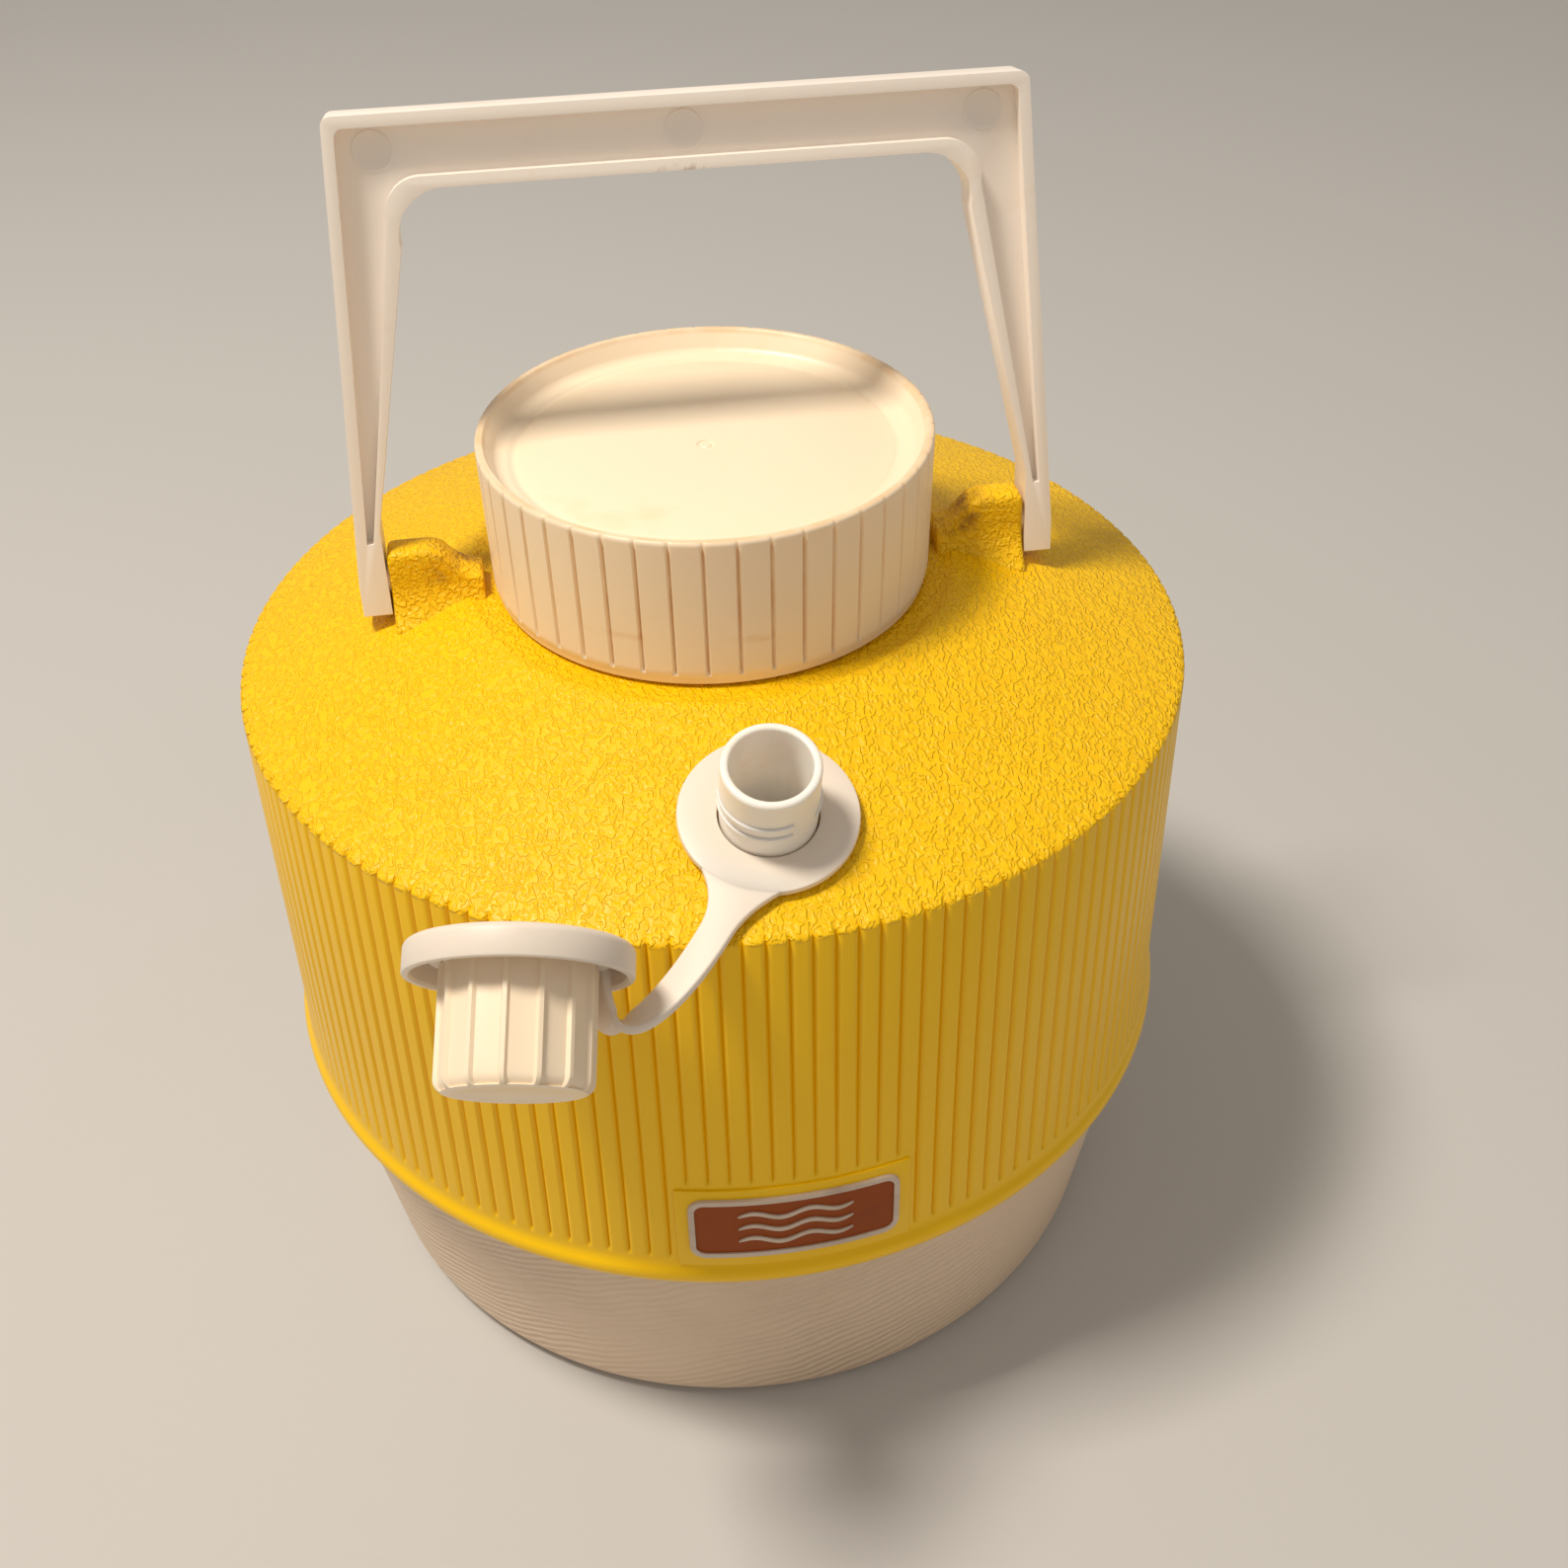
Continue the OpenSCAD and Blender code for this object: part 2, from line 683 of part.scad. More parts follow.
module handle() {
    ends = [-1, 1];
    leg_face_x = lug_face_x + leg_gap;
    clear_w = 5;                         // how far the cut beside the lug reaches inwards
    color("white") at_pivot() {
        difference() {
            union() {
                rotate([90, 0, 0]) linear_extrude(handle_depth, center = true) handle_outline(0);
                for (side = [0, 1]) mirror([side, 0, 0]) leg_foot();
            }
            for (face = [-1, 1])
                translate([0, face * (handle_depth / 2 - recess_depth / 2), 0])
                    rotate([90, 0, 0])
                        linear_extrude(recess_depth + eps, center = true) handle_outline(flange_w);
            for (side = ends)
                translate([side * (leg_face_x - clear_w), -handle_depth, -foot_drop - 1])
                    mirror([side < 0 ? 1 : 0, 0, 0])
                        cube([clear_w, 2 * handle_depth, foot_drop + solid_foot]);
        }
        for (side = ends)
            translate([side * (lug_face_x - stud_len + 0.6), 0, 0])
                rotate([0, side * 90, 0]) cylinder(d = stud_d, h = stud_len + leg_gap + 1);
    }
}

// ---- Spout ----------------------------------------------------------------

module spout() {
    flange_top = land_z - spout_gasket_t;
    thread_z = 7.5;
    color("white") at_spout() difference() {
        union() {
            translate([0, 0, flange_top - inner_flange_t])
                cylinder(r = inner_flange_r, h = inner_flange_t);
            translate([0, 0, flange_top - eps])
                cylinder(r = spout_out_r, h = spout_h - flange_top - 0.5);
            translate([0, 0, spout_h - 0.6]) cylinder(r1 = spout_out_r, r2 = spout_out_r - 0.5, h = 0.6);
            translate([0, 0, thread_z])
                thread(spout_out_r - 0.3, spout_out_r + 0.6, spout_lead, 2, 0.8, 24);
        }
        translate([0, 0, flange_top - inner_flange_t - 1])
            cylinder(d = spout_bore, h = spout_h - flange_top + inner_flange_t + 2);
    }
}

module spout_gasket() {
    color("dimgray") at_spout() translate([0, 0, land_z - spout_gasket_t + 0.02]) difference() {
        cylinder(r = inner_flange_r - 0.4, h = spout_gasket_t - 0.04);
        translate([0, 0, -1]) cylinder(r = spout_out_r + 0.05, h = spout_gasket_t + 2);
    }
}

module spout_nut() {
    across = 2 * spout_out_r + 6.8;
    color("white") at_spout() translate([0, 0, liner_face + 0.02]) difference() {
        cylinder(d = across, h = nut_h, $fn = 6);
        translate([0, 0, -1]) cylinder(r = spout_out_r + 0.05, h = nut_h + 2);
    }
}

// ---- Tether ---------------------------------------------------------------

// The strap's middle line: one smooth curve out of the disc and into the ring.
strap_start = from_spout([
    -strap_start_r * sin(strap_exit), -strap_start_r * cos(strap_exit), disc_lift + strap_t / 2
]);
strap_start_dir = from_spout([-sin(strap_exit), -cos(strap_exit), 0]) - from_spout([0, 0, 0]);
strap_end = from_cap([
    strap_root_r * cos(strap_root_turn), -strap_root_r * sin(strap_root_turn), collar_web + 1.2
]);
strap_end_dir = cap_vector([0, 0, 1]);
strap_handles = [
    strap_start, strap_start + strap_reach_disc * strap_start_dir,
    strap_end + (strap_reach_ring + 2) * strap_end_dir, strap_end
];
function bezier(p, t) = let (u = 1 - t)
    u * u * u * p[0] + 3 * u * u * t * p[1] + 3 * u * t * t * p[2] + t * t * t * p[3];
function bezier_slope(p, t) = let (u = 1 - t)
    unit(u * u * (p[1] - p[0]) + 2 * u * t * (p[2] - p[1]) + t * t * (p[3] - p[2]));

// The strap's width turns from lying on the shoulder to lying around the cap.
strap_start_side = unit(cross(from_spout([0, 0, 1]) - from_spout([0, 0, 0]), strap_start_dir));
strap_end_side = cap_vector([sin(strap_root_turn), cos(strap_root_turn), 0]);
function strap_ring(t) = let (
    centre = bezier(strap_handles, t),
    along = bezier_slope(strap_handles, t),
    mixed = (1 - t) * strap_start_side + t * strap_end_side,
    side = unit(mixed - (mixed * along) * along),
    up = cross(along, side),
    w = strap_w / 2,
    h = strap_t / 2,
    soft = 0.5
) [
    centre + (w - soft) * side + h * up,
    centre - (w - soft) * side + h * up,
    centre - w * side + (h - soft) * up,
    centre - w * side - (h - soft) * up,
    centre - (w - soft) * side - h * up,
    centre + (w - soft) * side - h * up,
    centre + w * side - (h - soft) * up,
    centre + w * side + (h - soft) * up
];

module strap(t0, t1) {
    n = ceil(strap_steps * (t1 - t0));
    loft([for (i = [0:n]) strap_ring(t0 + (t1 - t0) * i / n)]);
}

module tether_anchor() {
    color("white") union() {
        at_spout() translate([0, 0, disc_lift]) difference() {
            cylinder(r = disc_r, h = strap_t);
            translate([0, 0, -1]) cylinder(r = spout_out_r + 1.0, h = strap_t + 2);
        }
        strap(0, strap_split);
    }
}

module tether_ring() {
    color("white") union() {
        at_cap() translate([0, 0, collar_web + 0.1]) difference() {
            cylinder(r = ring_r, h = cap_neck_h - collar_web - 0.3);
            translate([0, 0, -1]) cylinder(r = cap_neck_r + running_gap, h = 4);
        }
        strap(strap_split, 1);
    }
}

// ---- Spout cap ------------------------------------------------------------

module cap_collar() {
    round_r = 1.6;
    color("white") at_cap() rotate_extrude()
        polygon(concat(
            [
                [cap_neck_r, 0],
                [collar_r_out - round_r, 0]
            ],
            arc([collar_r_out - round_r, round_r], round_r, -90, 0, 5),
            [
                [collar_r_out, collar_h - 0.4],
                [collar_r_out - 0.4, collar_h],
                [collar_r_out - 1.2, collar_h],
                [collar_r_out - 1.6, collar_h - 0.6],
                [collar_r_out - 1.6, collar_web + 0.8],
                [collar_r_out - 2.4, collar_web],
                [cap_neck_r, collar_web]
            ]
        ));
}

module spout_cap() {
    color("antiquewhite") at_cap() difference() {
        union() {
            cylinder(r = cap_neck_r, h = cap_neck_h + eps);
            difference() {
                translate([0, 0, cap_neck_h]) cylinder(r = cap_r, h = cap_h - cap_neck_h);
                for (i = [0:flute_count - 1])
                    rotate([0, 0, 360 * i / flute_count])
                        translate([cap_r + 2.8, 0, cap_neck_h - 1])
                            cylinder(r = 3.6, h = cap_h - cap_neck_h - 0.2, $fn = 32);
            }
        }
        translate([0, 0, -1]) cylinder(r = cap_bore_r, h = cap_h - 1.2);
    }
}

module cap_liner() {
    color("silver") at_cap() translate([0, 0, cap_h - 2.2 - 1.4]) cylinder(r = cap_bore_r - 0.1, h = 1.38);
}

base_shell();
top_shell();
badge();
liner();
insulation_base();
insulation_wall();
insulation_shoulder();
neck_seal();
lid_cover();
lid_plug();
lid_foam();
lid_gasket();
handle();
spout();
spout_gasket();
spout_nut();
tether_anchor();
tether_ring();
cap_collar();
spout_cap();
cap_liner();
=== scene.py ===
"""Looks of a one gallon insulated picnic jug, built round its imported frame.

Lengths are in metres, in the frame's own axes: +Z up, the spout and badge towards -Y.
"""

import logging
import math
from contextlib import contextmanager
from dataclasses import dataclass
from enum import Enum
from functools import partial
from itertools import pairwise
from typing import Callable, Iterator, Sequence

import bpy
import numpy as np
from mathutils import Matrix, Vector


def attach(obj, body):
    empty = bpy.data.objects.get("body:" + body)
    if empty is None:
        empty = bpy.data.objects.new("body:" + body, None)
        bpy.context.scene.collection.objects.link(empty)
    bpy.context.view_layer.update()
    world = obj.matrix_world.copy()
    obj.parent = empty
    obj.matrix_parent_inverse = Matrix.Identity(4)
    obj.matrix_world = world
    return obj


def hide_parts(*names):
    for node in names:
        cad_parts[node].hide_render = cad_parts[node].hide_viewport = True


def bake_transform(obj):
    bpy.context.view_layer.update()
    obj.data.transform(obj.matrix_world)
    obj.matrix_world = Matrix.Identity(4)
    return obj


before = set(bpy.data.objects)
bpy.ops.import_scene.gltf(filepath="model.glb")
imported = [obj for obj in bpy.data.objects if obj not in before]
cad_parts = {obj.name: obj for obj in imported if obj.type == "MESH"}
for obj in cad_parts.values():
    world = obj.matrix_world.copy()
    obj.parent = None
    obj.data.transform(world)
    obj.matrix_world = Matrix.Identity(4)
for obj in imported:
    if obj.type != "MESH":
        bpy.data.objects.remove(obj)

LOG = logging.getLogger("jug")
MM = 0.001
FULL_TURN = 2 * math.pi
DOUBLES = 0.002 * MM
RING_STEPS = 720
THREAD_STEPS = 72
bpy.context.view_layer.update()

Colour = tuple[float, float, float]
Outline = list[tuple[float, float]]
Rule = Callable[[np.ndarray], np.ndarray]


# ---- Modelling helpers ------------------------------------------------------


def clear_selection() -> None:
    """Leaves edit mode and deselects every object."""
    if bpy.context.object and bpy.context.object.mode != "OBJECT":
        bpy.ops.object.mode_set(mode="OBJECT")
    bpy.ops.object.select_all(action="DESELECT")


def activate(piece: bpy.types.Object) -> None:
    """Makes a piece the only one selected, and the active one."""
    clear_selection()
    piece.select_set(True)
    bpy.context.view_layer.objects.active = piece


@contextmanager
def editing(piece: bpy.types.Object) -> Iterator[None]:
    """Opens a piece in edit mode with nothing selected, and closes it at the end."""
    activate(piece)
    bpy.ops.object.mode_set(mode="EDIT")
    bpy.ops.mesh.select_mode(type="VERT")
    bpy.ops.mesh.select_all(action="DESELECT")
    yield
    bpy.ops.object.mode_set(mode="OBJECT")


def pick(piece: bpy.types.Object, rule: Rule, faces: bool = False) -> None:
    """Selects the corners or faces of an open piece that a rule accepts.

    Args:
        piece: a piece in edit mode.
        rule: takes an array of points, and says which of them are wanted. For faces the
            array holds each centre, then each normal, in six columns.
        faces: selects faces in place of corners.
    """
    bpy.ops.object.mode_set(mode="OBJECT")
    mesh = piece.data
    for elements in (mesh.vertices, mesh.edges, mesh.polygons):
        elements.foreach_set("select", np.zeros(len(elements), bool))
    elements = mesh.polygons if faces else mesh.vertices
    found = np.zeros(3 * len(elements))
    elements.foreach_get("center" if faces else "co", found)
    found = found.reshape(-1, 3)
    if faces:
        normals = np.zeros(3 * len(elements))
        elements.foreach_get("normal", normals)
        found = np.hstack([found, normals.reshape(-1, 3)])
    elements.foreach_set("select", np.asarray(rule(found), bool))
    bpy.ops.object.mode_set(mode="EDIT")
    bpy.ops.mesh.select_mode(type="FACE" if faces else "VERT")


def named(piece: bpy.types.Object, name: str) -> bpy.types.Object:
    """Names a piece and its mesh, and returns it."""
    piece.name = name
    piece.data.name = name
    return piece


def settle(piece: bpy.types.Object) -> bpy.types.Object:
    """Puts a piece's place, turn and scale into its mesh, and returns it."""
    activate(piece)
    bpy.ops.object.transform_apply(location=True, rotation=True, scale=True)
    return piece


def stand(piece: bpy.types.Object, place: Matrix) -> bpy.types.Object:
    """Moves a piece that was modelled at the origin to its place, and returns it."""
    piece.matrix_world = place
    return settle(piece)


def applied(piece: bpy.types.Object, kind: str, **settings: object) -> bpy.types.Object:
    """Adds a modifier, applies it and returns the piece.

    Args:
        piece: the piece.
        kind: the modifier's type.
        settings: its attributes.

    Returns:
        The same piece.
    """
    activate(piece)
    modifier = piece.modifiers.new(kind.lower(), kind)
    for name, value in settings.items():
        setattr(modifier, name, value)
    bpy.ops.object.modifier_apply(modifier=modifier.name)
    return piece


def softened(piece: bpy.types.Object, width: float, segments: int = 3,
             sharper_than: float = 35.0) -> bpy.types.Object:
    """Rounds every edge sharper than an angle in degrees, and shades the piece smooth."""
    applied(piece, "BEVEL", width=width, segments=segments, limit_method="ANGLE",
            angle_limit=math.radians(sharper_than), miter_outer="MITER_ARC")
    return smooth(piece)


def smooth(piece: bpy.types.Object, angle: float = 32.0) -> bpy.types.Object:
    """Shades a piece smooth where its faces meet at less than an angle in degrees."""
    activate(piece)
    bpy.ops.object.shade_smooth_by_angle(angle=math.radians(angle))
    return piece


def joined(pieces: Sequence[bpy.types.Object], name: str) -> bpy.types.Object:
    """Joins several pieces into the first, names it and returns it."""
    activate(pieces[0])
    for piece in pieces[1:]:
        piece.select_set(True)
    bpy.ops.object.join()
    return named(pieces[0], name)


def closed(piece: bpy.types.Object) -> bpy.types.Object:
    """Merges an edited piece's doubled corners and points its faces outwards."""
    with editing(piece):
        bpy.ops.mesh.select_all(action="SELECT")
        bpy.ops.mesh.remove_doubles(threshold=DOUBLES)
        bpy.ops.mesh.normals_make_consistent(inside=False)
    return piece


def drawn(name: str, points: Sequence[tuple[float, float, float]]) -> bpy.types.Object:
    """Draws a line of edges by extruding one corner from point to point.

    Args:
        name: the piece's name.
        points: the corners of the line.

    Returns:
        A piece that is only edges, still to be spun, filled or extruded.
    """
    clear_selection()
    bpy.ops.mesh.primitive_plane_add(size=MM, location=points[0])
    piece = named(settle(bpy.context.object), name)
    with editing(piece):
        bpy.ops.mesh.select_all(action="SELECT")
        bpy.ops.mesh.merge(type="CENTER")
        for here, there in pairwise(points):
            step = tuple(b - a for a, b in zip(here, there))
            bpy.ops.mesh.extrude_region_move(TRANSFORM_OT_translate={"value": step})
    return piece


def turned(name: str, outline: Outline, steps: int) -> bpy.types.Object:
    """Spins an outline once round the Z axis into a closed solid.

    Args:
        name: the piece's name.
        outline: radius and height of each point. It starts and ends on the axis, or at
            the same point.
        steps: how many faces there are around the axis.

    Returns:
        The piece, with its doubles merged and its faces outwards.
    """
    piece = drawn(name, [(radius, 0.0, height) for radius, height in outline])
    with editing(piece):
        bpy.ops.mesh.select_all(action="SELECT")
        bpy.ops.mesh.spin(steps=steps, angle=FULL_TURN, center=(0, 0, 0), axis=(0, 0, 1))
    return closed(piece)


def extruded(name: str, outline: Outline, depth: float) -> bpy.types.Object:
    """Fills an outline drawn in X and Z, and gives it a depth about Y = 0.

    Args:
        name: the piece's name.
        outline: the corners, once round.
        depth: the whole depth.

    Returns:
        The piece.
    """
    ring = [(x, -depth / 2, z) for x, z in [*outline, outline[0]]]
    piece = closed(drawn(name, ring))
    with editing(piece):
        bpy.ops.mesh.select_all(action="SELECT")
        bpy.ops.mesh.edge_face_add()
        bpy.ops.mesh.extrude_region_move(TRANSFORM_OT_translate={"value": (0, depth, 0)})
    return closed(piece)


def cut(piece: bpy.types.Object, tool: bpy.types.Object) -> bpy.types.Object:
    """Cuts a tool's shape out of a piece, removes the tool and returns the piece."""
    return combined(piece, tool, "DIFFERENCE")


def kept(piece: bpy.types.Object, tool: bpy.types.Object) -> bpy.types.Object:
    """Keeps what a piece shares with a tool, removes the tool and returns the piece."""
    return combined(piece, tool, "INTERSECT")


def combined(piece: bpy.types.Object, tool: bpy.types.Object, operation: str) -> bpy.types.Object:
    """Runs one boolean of a tool on a piece.

    Args:
        piece: the piece that changes.
        tool: the other shape, which is removed.
        operation: DIFFERENCE or INTERSECT.

    Returns:
        The piece.
    """
    applied(piece, "BOOLEAN", object=tool, operation=operation, solver="EXACT")
    bpy.data.objects.remove(tool, do_unlink=True)
    return piece


def front_half(piece: bpy.types.Object) -> bpy.types.Object:
    """Cuts away the half of a piece behind Y = 0, closes it and returns it."""
    with editing(piece):
        bpy.ops.mesh.select_all(action="SELECT")
        bpy.ops.mesh.bisect(plane_co=(0, 0, 0), plane_no=(0, 1, 0), use_fill=True, clear_outer=True)
    return piece


def ridge(name: str, root_r: float, crest_r: float, half: float, start: float, lead: float,
          turns: float) -> bpy.types.Object:
    """Winds a screw thread's ridge round the Z axis.

    Args:
        name: the piece's name.
        root_r: the radius at its foot, inside the wall that it stands on.
        crest_r: the radius at its crest.
        half: half its height at the foot.
        start: the height of its first end.
        lead: its rise for each turn.
        turns: how many turns it has.

    Returns:
        The ridge, with both its ends closed.
    """
    flat = 0.4 * half
    section = [(root_r, 0, start - half), (crest_r, 0, start - flat), (crest_r, 0, start + flat),
               (root_r, 0, start + half), (root_r, 0, start - half)]
    piece = closed(drawn(name, section))
    steps = int(THREAD_STEPS * turns)
    applied(piece, "SCREW", angle=turns * FULL_TURN, screw_offset=turns * lead, steps=steps,
            render_steps=steps, axis="Z", use_merge_vertices=False)
    with editing(piece):
        bpy.ops.mesh.select_non_manifold(extend=False)
        bpy.ops.mesh.edge_face_add()
    return smooth(closed(piece))


def skinned(rails: Sequence[bpy.types.Object], name: str) -> bpy.types.Object:
    """Skins the space between lines that run side by side, and closes both ends.

    Args:
        rails: lines with equally many corners, in order round the section.
        name: the piece's name.

    Returns:
        The closed piece.
    """
    count = len(rails[0].data.vertices)
    lines = len(rails)
    piece = joined(rails, name)
    with editing(piece):
        for line in range(lines):
            wanted = {line * count + step for step in range(count)}
            wanted |= {(line + 1) % lines * count + step for step in range(count)}

            def rule(points: np.ndarray, wanted: set[int] = wanted) -> np.ndarray:
                """Returns: the corners of two neighbouring lines."""
                return np.isin(np.arange(len(points)), sorted(wanted))

            pick(piece, rule)
            bpy.ops.mesh.bridge_edge_loops()
        bpy.ops.mesh.select_mode(type="EDGE")
        bpy.ops.mesh.select_all(action="DESELECT")
        bpy.ops.mesh.select_non_manifold(extend=False)
        bpy.ops.mesh.edge_face_add()
    return closed(piece)


def rounded_slab(width: float, low: float, high: float, corner: float, depth: float) -> bpy.types.Object:
    """Makes a block with a rounded front view that reaches forwards from the Z axis.

    Args:
        width: its width.
        low: its lower edge.
        high: its upper edge.
        corner: the radius of its corners.
        depth: how far it must reach forwards.

    Returns:
        The block.
    """
    half = width / 2 - corner
    quarters = ((half, high - corner, 0), (-half, high - corner, 90), (-half, low + corner, 180),
                (half, low + corner, 270))
    outline = [point for x, z, start in quarters
               for point in rounded_corner((x, z), corner, start, start + 90, 6)]
    return front_half(extruded("slab", outline, 3 * depth))


def skirt_ring(size: "Layout", name: str, inner: float, outer: float) -> bpy.types.Object:
    """Spins a thin ring that follows the skirt.

    Args:
        size: the shared sizes.
        name: the ring's name.
        inner: its inner face, measured out from the ribs.
        outer: its outer face, measured out from the ribs.

    Returns:
        The ring.
    """
    low, high = size.lip_bottom, size.rim_z
    section = [(size.skirt_r(low) + inner, low), (size.skirt_r(low) + outer, low),
               (size.skirt_r(high) + outer, high), (size.skirt_r(high) + inner, high),
               (size.skirt_r(low) + inner, low)]
    return turned(name, section, RING_STEPS)


def rounded_corner(centre: tuple[float, float], radius: float, start: float, end: float,
                   steps: int = 6) -> Outline:
    """Points of an arc.

    Args:
        centre: its centre.
        radius: its radius.
        start: the first point's angle in degrees.
        end: the last point's angle in degrees.
        steps: how many lines it is drawn with.

    Returns:
        The arc's points.
    """
    angles = np.radians(np.linspace(start, end, steps + 1))
    return [(centre[0] + radius * math.cos(a), centre[1] + radius * math.sin(a)) for a in angles]


def squeeze(piece: bpy.types.Object, rule: Rule, factor: float) -> None:
    """Moves the chosen corners of an open piece towards the Z axis by a factor."""
    pick(piece, rule)
    bpy.ops.transform.resize(value=(factor, factor, 1), center_override=(0, 0, 0))


def around(points: np.ndarray) -> np.ndarray:
    """Returns: each point's angle from the front, in turns, from 0 up to 1."""
    return (np.arctan2(points[:, 0], -points[:, 1]) / FULL_TURN) % 1.0


# ---- Node wiring ------------------------------------------------------------


class Wiring:
    """Adds nodes to one node tree and joins them."""

    def __init__(self, tree: bpy.types.NodeTree) -> None:
        """Takes the node tree of a material or of a group.

        Args:
            tree: the node tree.
        """
        self.tree = tree

    def add(self, kind: str, **settings: object) -> bpy.types.Node:
        """Adds one node.

        Args:
            kind: the node's type name after "ShaderNode".
            settings: attributes to set on it.

        Returns:
            The new node.
        """
        node = self.tree.nodes.new("ShaderNode" + kind)
        for name, value in settings.items():
            setattr(node, name, value)
        return node

    def feed(self, target: bpy.types.NodeSocket, source: object) -> None:
        """Joins an output to an input, or writes a plain value on the input."""
        if isinstance(source, bpy.types.NodeSocket):
            self.tree.links.new(source, target)
        elif target.type == "RGBA":
            target.default_value = (*source[:3], 1.0)
        else:
            target.default_value = source

    def maths(self, operation: str, *values: object) -> bpy.types.NodeSocket:
        """Returns: the output of a Math node on up to three values."""
        node = self.add("Math", operation=operation)
        for socket, value in zip(node.inputs, values):
            self.feed(socket, value)
        return node.outputs[0]

    def product(self, *values: object) -> bpy.types.NodeSocket:
        """Returns: all the values multiplied."""
        result = values[0]
        for value in values[1:]:
            result = self.maths("MULTIPLY", result, value)
        return result

    def total(self, *values: object) -> bpy.types.NodeSocket:
        """Returns: all the values added."""
        result = values[0]
        for value in values[1:]:
            result = self.maths("ADD", result, value)
        return result

    def ramp(self, source: object, low: float, high: float, floor: float = 0.0,
             top: float = 1.0) -> bpy.types.NodeSocket:
        """Maps a value smoothly.

        Args:
            source: the value.
            low: the value that gives floor.
            high: the value that gives top.
            floor: the result at and below low.
            top: the result at and above high.

        Returns:
            The mapped value.
        """
        node = self.add("MapRange", interpolation_type="SMOOTHSTEP")
        for socket, value in zip(node.inputs, (source, low, high, floor, top)):
            self.feed(socket, value)
        return node.outputs[0]

    def band(self, source: object, low: float, high: float, fade: float) -> bpy.types.NodeSocket:
        """Returns: 1 between two limits and 0 outside them, with soft sides."""
        rise = self.ramp(source, low - fade, low)
        fall = self.ramp(source, high, high + fade, 1.0, 0.0)
        return self.product(rise, fall)

    def blend_values(self, share: object, first: object, second: object) -> bpy.types.NodeSocket:
        """Returns: the first value with a share of the second."""
        rest = self.maths("SUBTRACT", 1.0, share)
        return self.total(self.product(rest, first), self.product(share, second))

    def mix(self, share: object, first: object, second: object) -> bpy.types.NodeSocket:
        """Returns: the first colour with a share of the second."""
        node = self.add("Mix", data_type="RGBA")
        for name, value in ((0, share), (6, first), (7, second)):
            self.feed(node.inputs[name], value)
        return node.outputs[2]

    def spot(self) -> bpy.types.NodeSocket:
        """Returns: the piece's own coordinates, which are the frame's."""
        return self.add("TexCoord").outputs["Object"]

    def parts(self, vector: bpy.types.NodeSocket) -> tuple[bpy.types.NodeSocket, ...]:
        """Returns: the X, Y and Z of a vector."""
        node = self.add("SeparateXYZ")
        self.feed(node.inputs[0], vector)
        return tuple(node.outputs)

    def radius(self, vector: bpy.types.NodeSocket) -> bpy.types.NodeSocket:
        """Returns: a point's distance from the Z axis."""
        x, y, _ = self.parts(vector)
        squares = self.total(self.maths("MULTIPLY", x, x), self.maths("MULTIPLY", y, y))
        return self.maths("SQRT", squares)

    def fed(self, kind: str, values: dict[str, object], **settings: object) -> bpy.types.Node:
        """Returns: a new node whose named inputs have their values."""
        node = self.add(kind, **settings)
        for name, value in values.items():
            self.feed(node.inputs[name], value)
        return node

    def mapped(self, vector: bpy.types.NodeSocket, scale: tuple[float, float, float] = (1, 1, 1),
               turn: tuple[float, float, float] = (0, 0, 0)) -> bpy.types.NodeSocket:
        """Returns: coordinates scaled and turned by a Mapping node."""
        return self.fed("Mapping", {"Vector": vector, "Scale": scale, "Rotation": turn}).outputs[0]

    def noise(self, vector: object, scale: object, detail: float = 3.0,
              rough: float = 0.5) -> bpy.types.NodeSocket:
        """Returns: the value of a noise texture."""
        given = {"Vector": vector, "Scale": scale, "Detail": detail, "Roughness": rough}
        return self.fed("TexNoise", given).outputs[0]

    def group(self, tree: bpy.types.NodeTree, **values: object) -> bpy.types.NodeOutputs:
        """Places a shader group.

        Args:
            tree: the group.
            values: what its named inputs get.

        Returns:
            The group's outputs.
        """
        return self.fed("Group", values, node_tree=tree).outputs

    def bump(self, height: object, depth: float) -> bpy.types.NodeSocket:
        """Returns: the normal of a relief whose height of 1 is depth metres."""
        return self.fed("Bump", {"Strength": 1.0, "Distance": depth, "Height": height}).outputs[0]


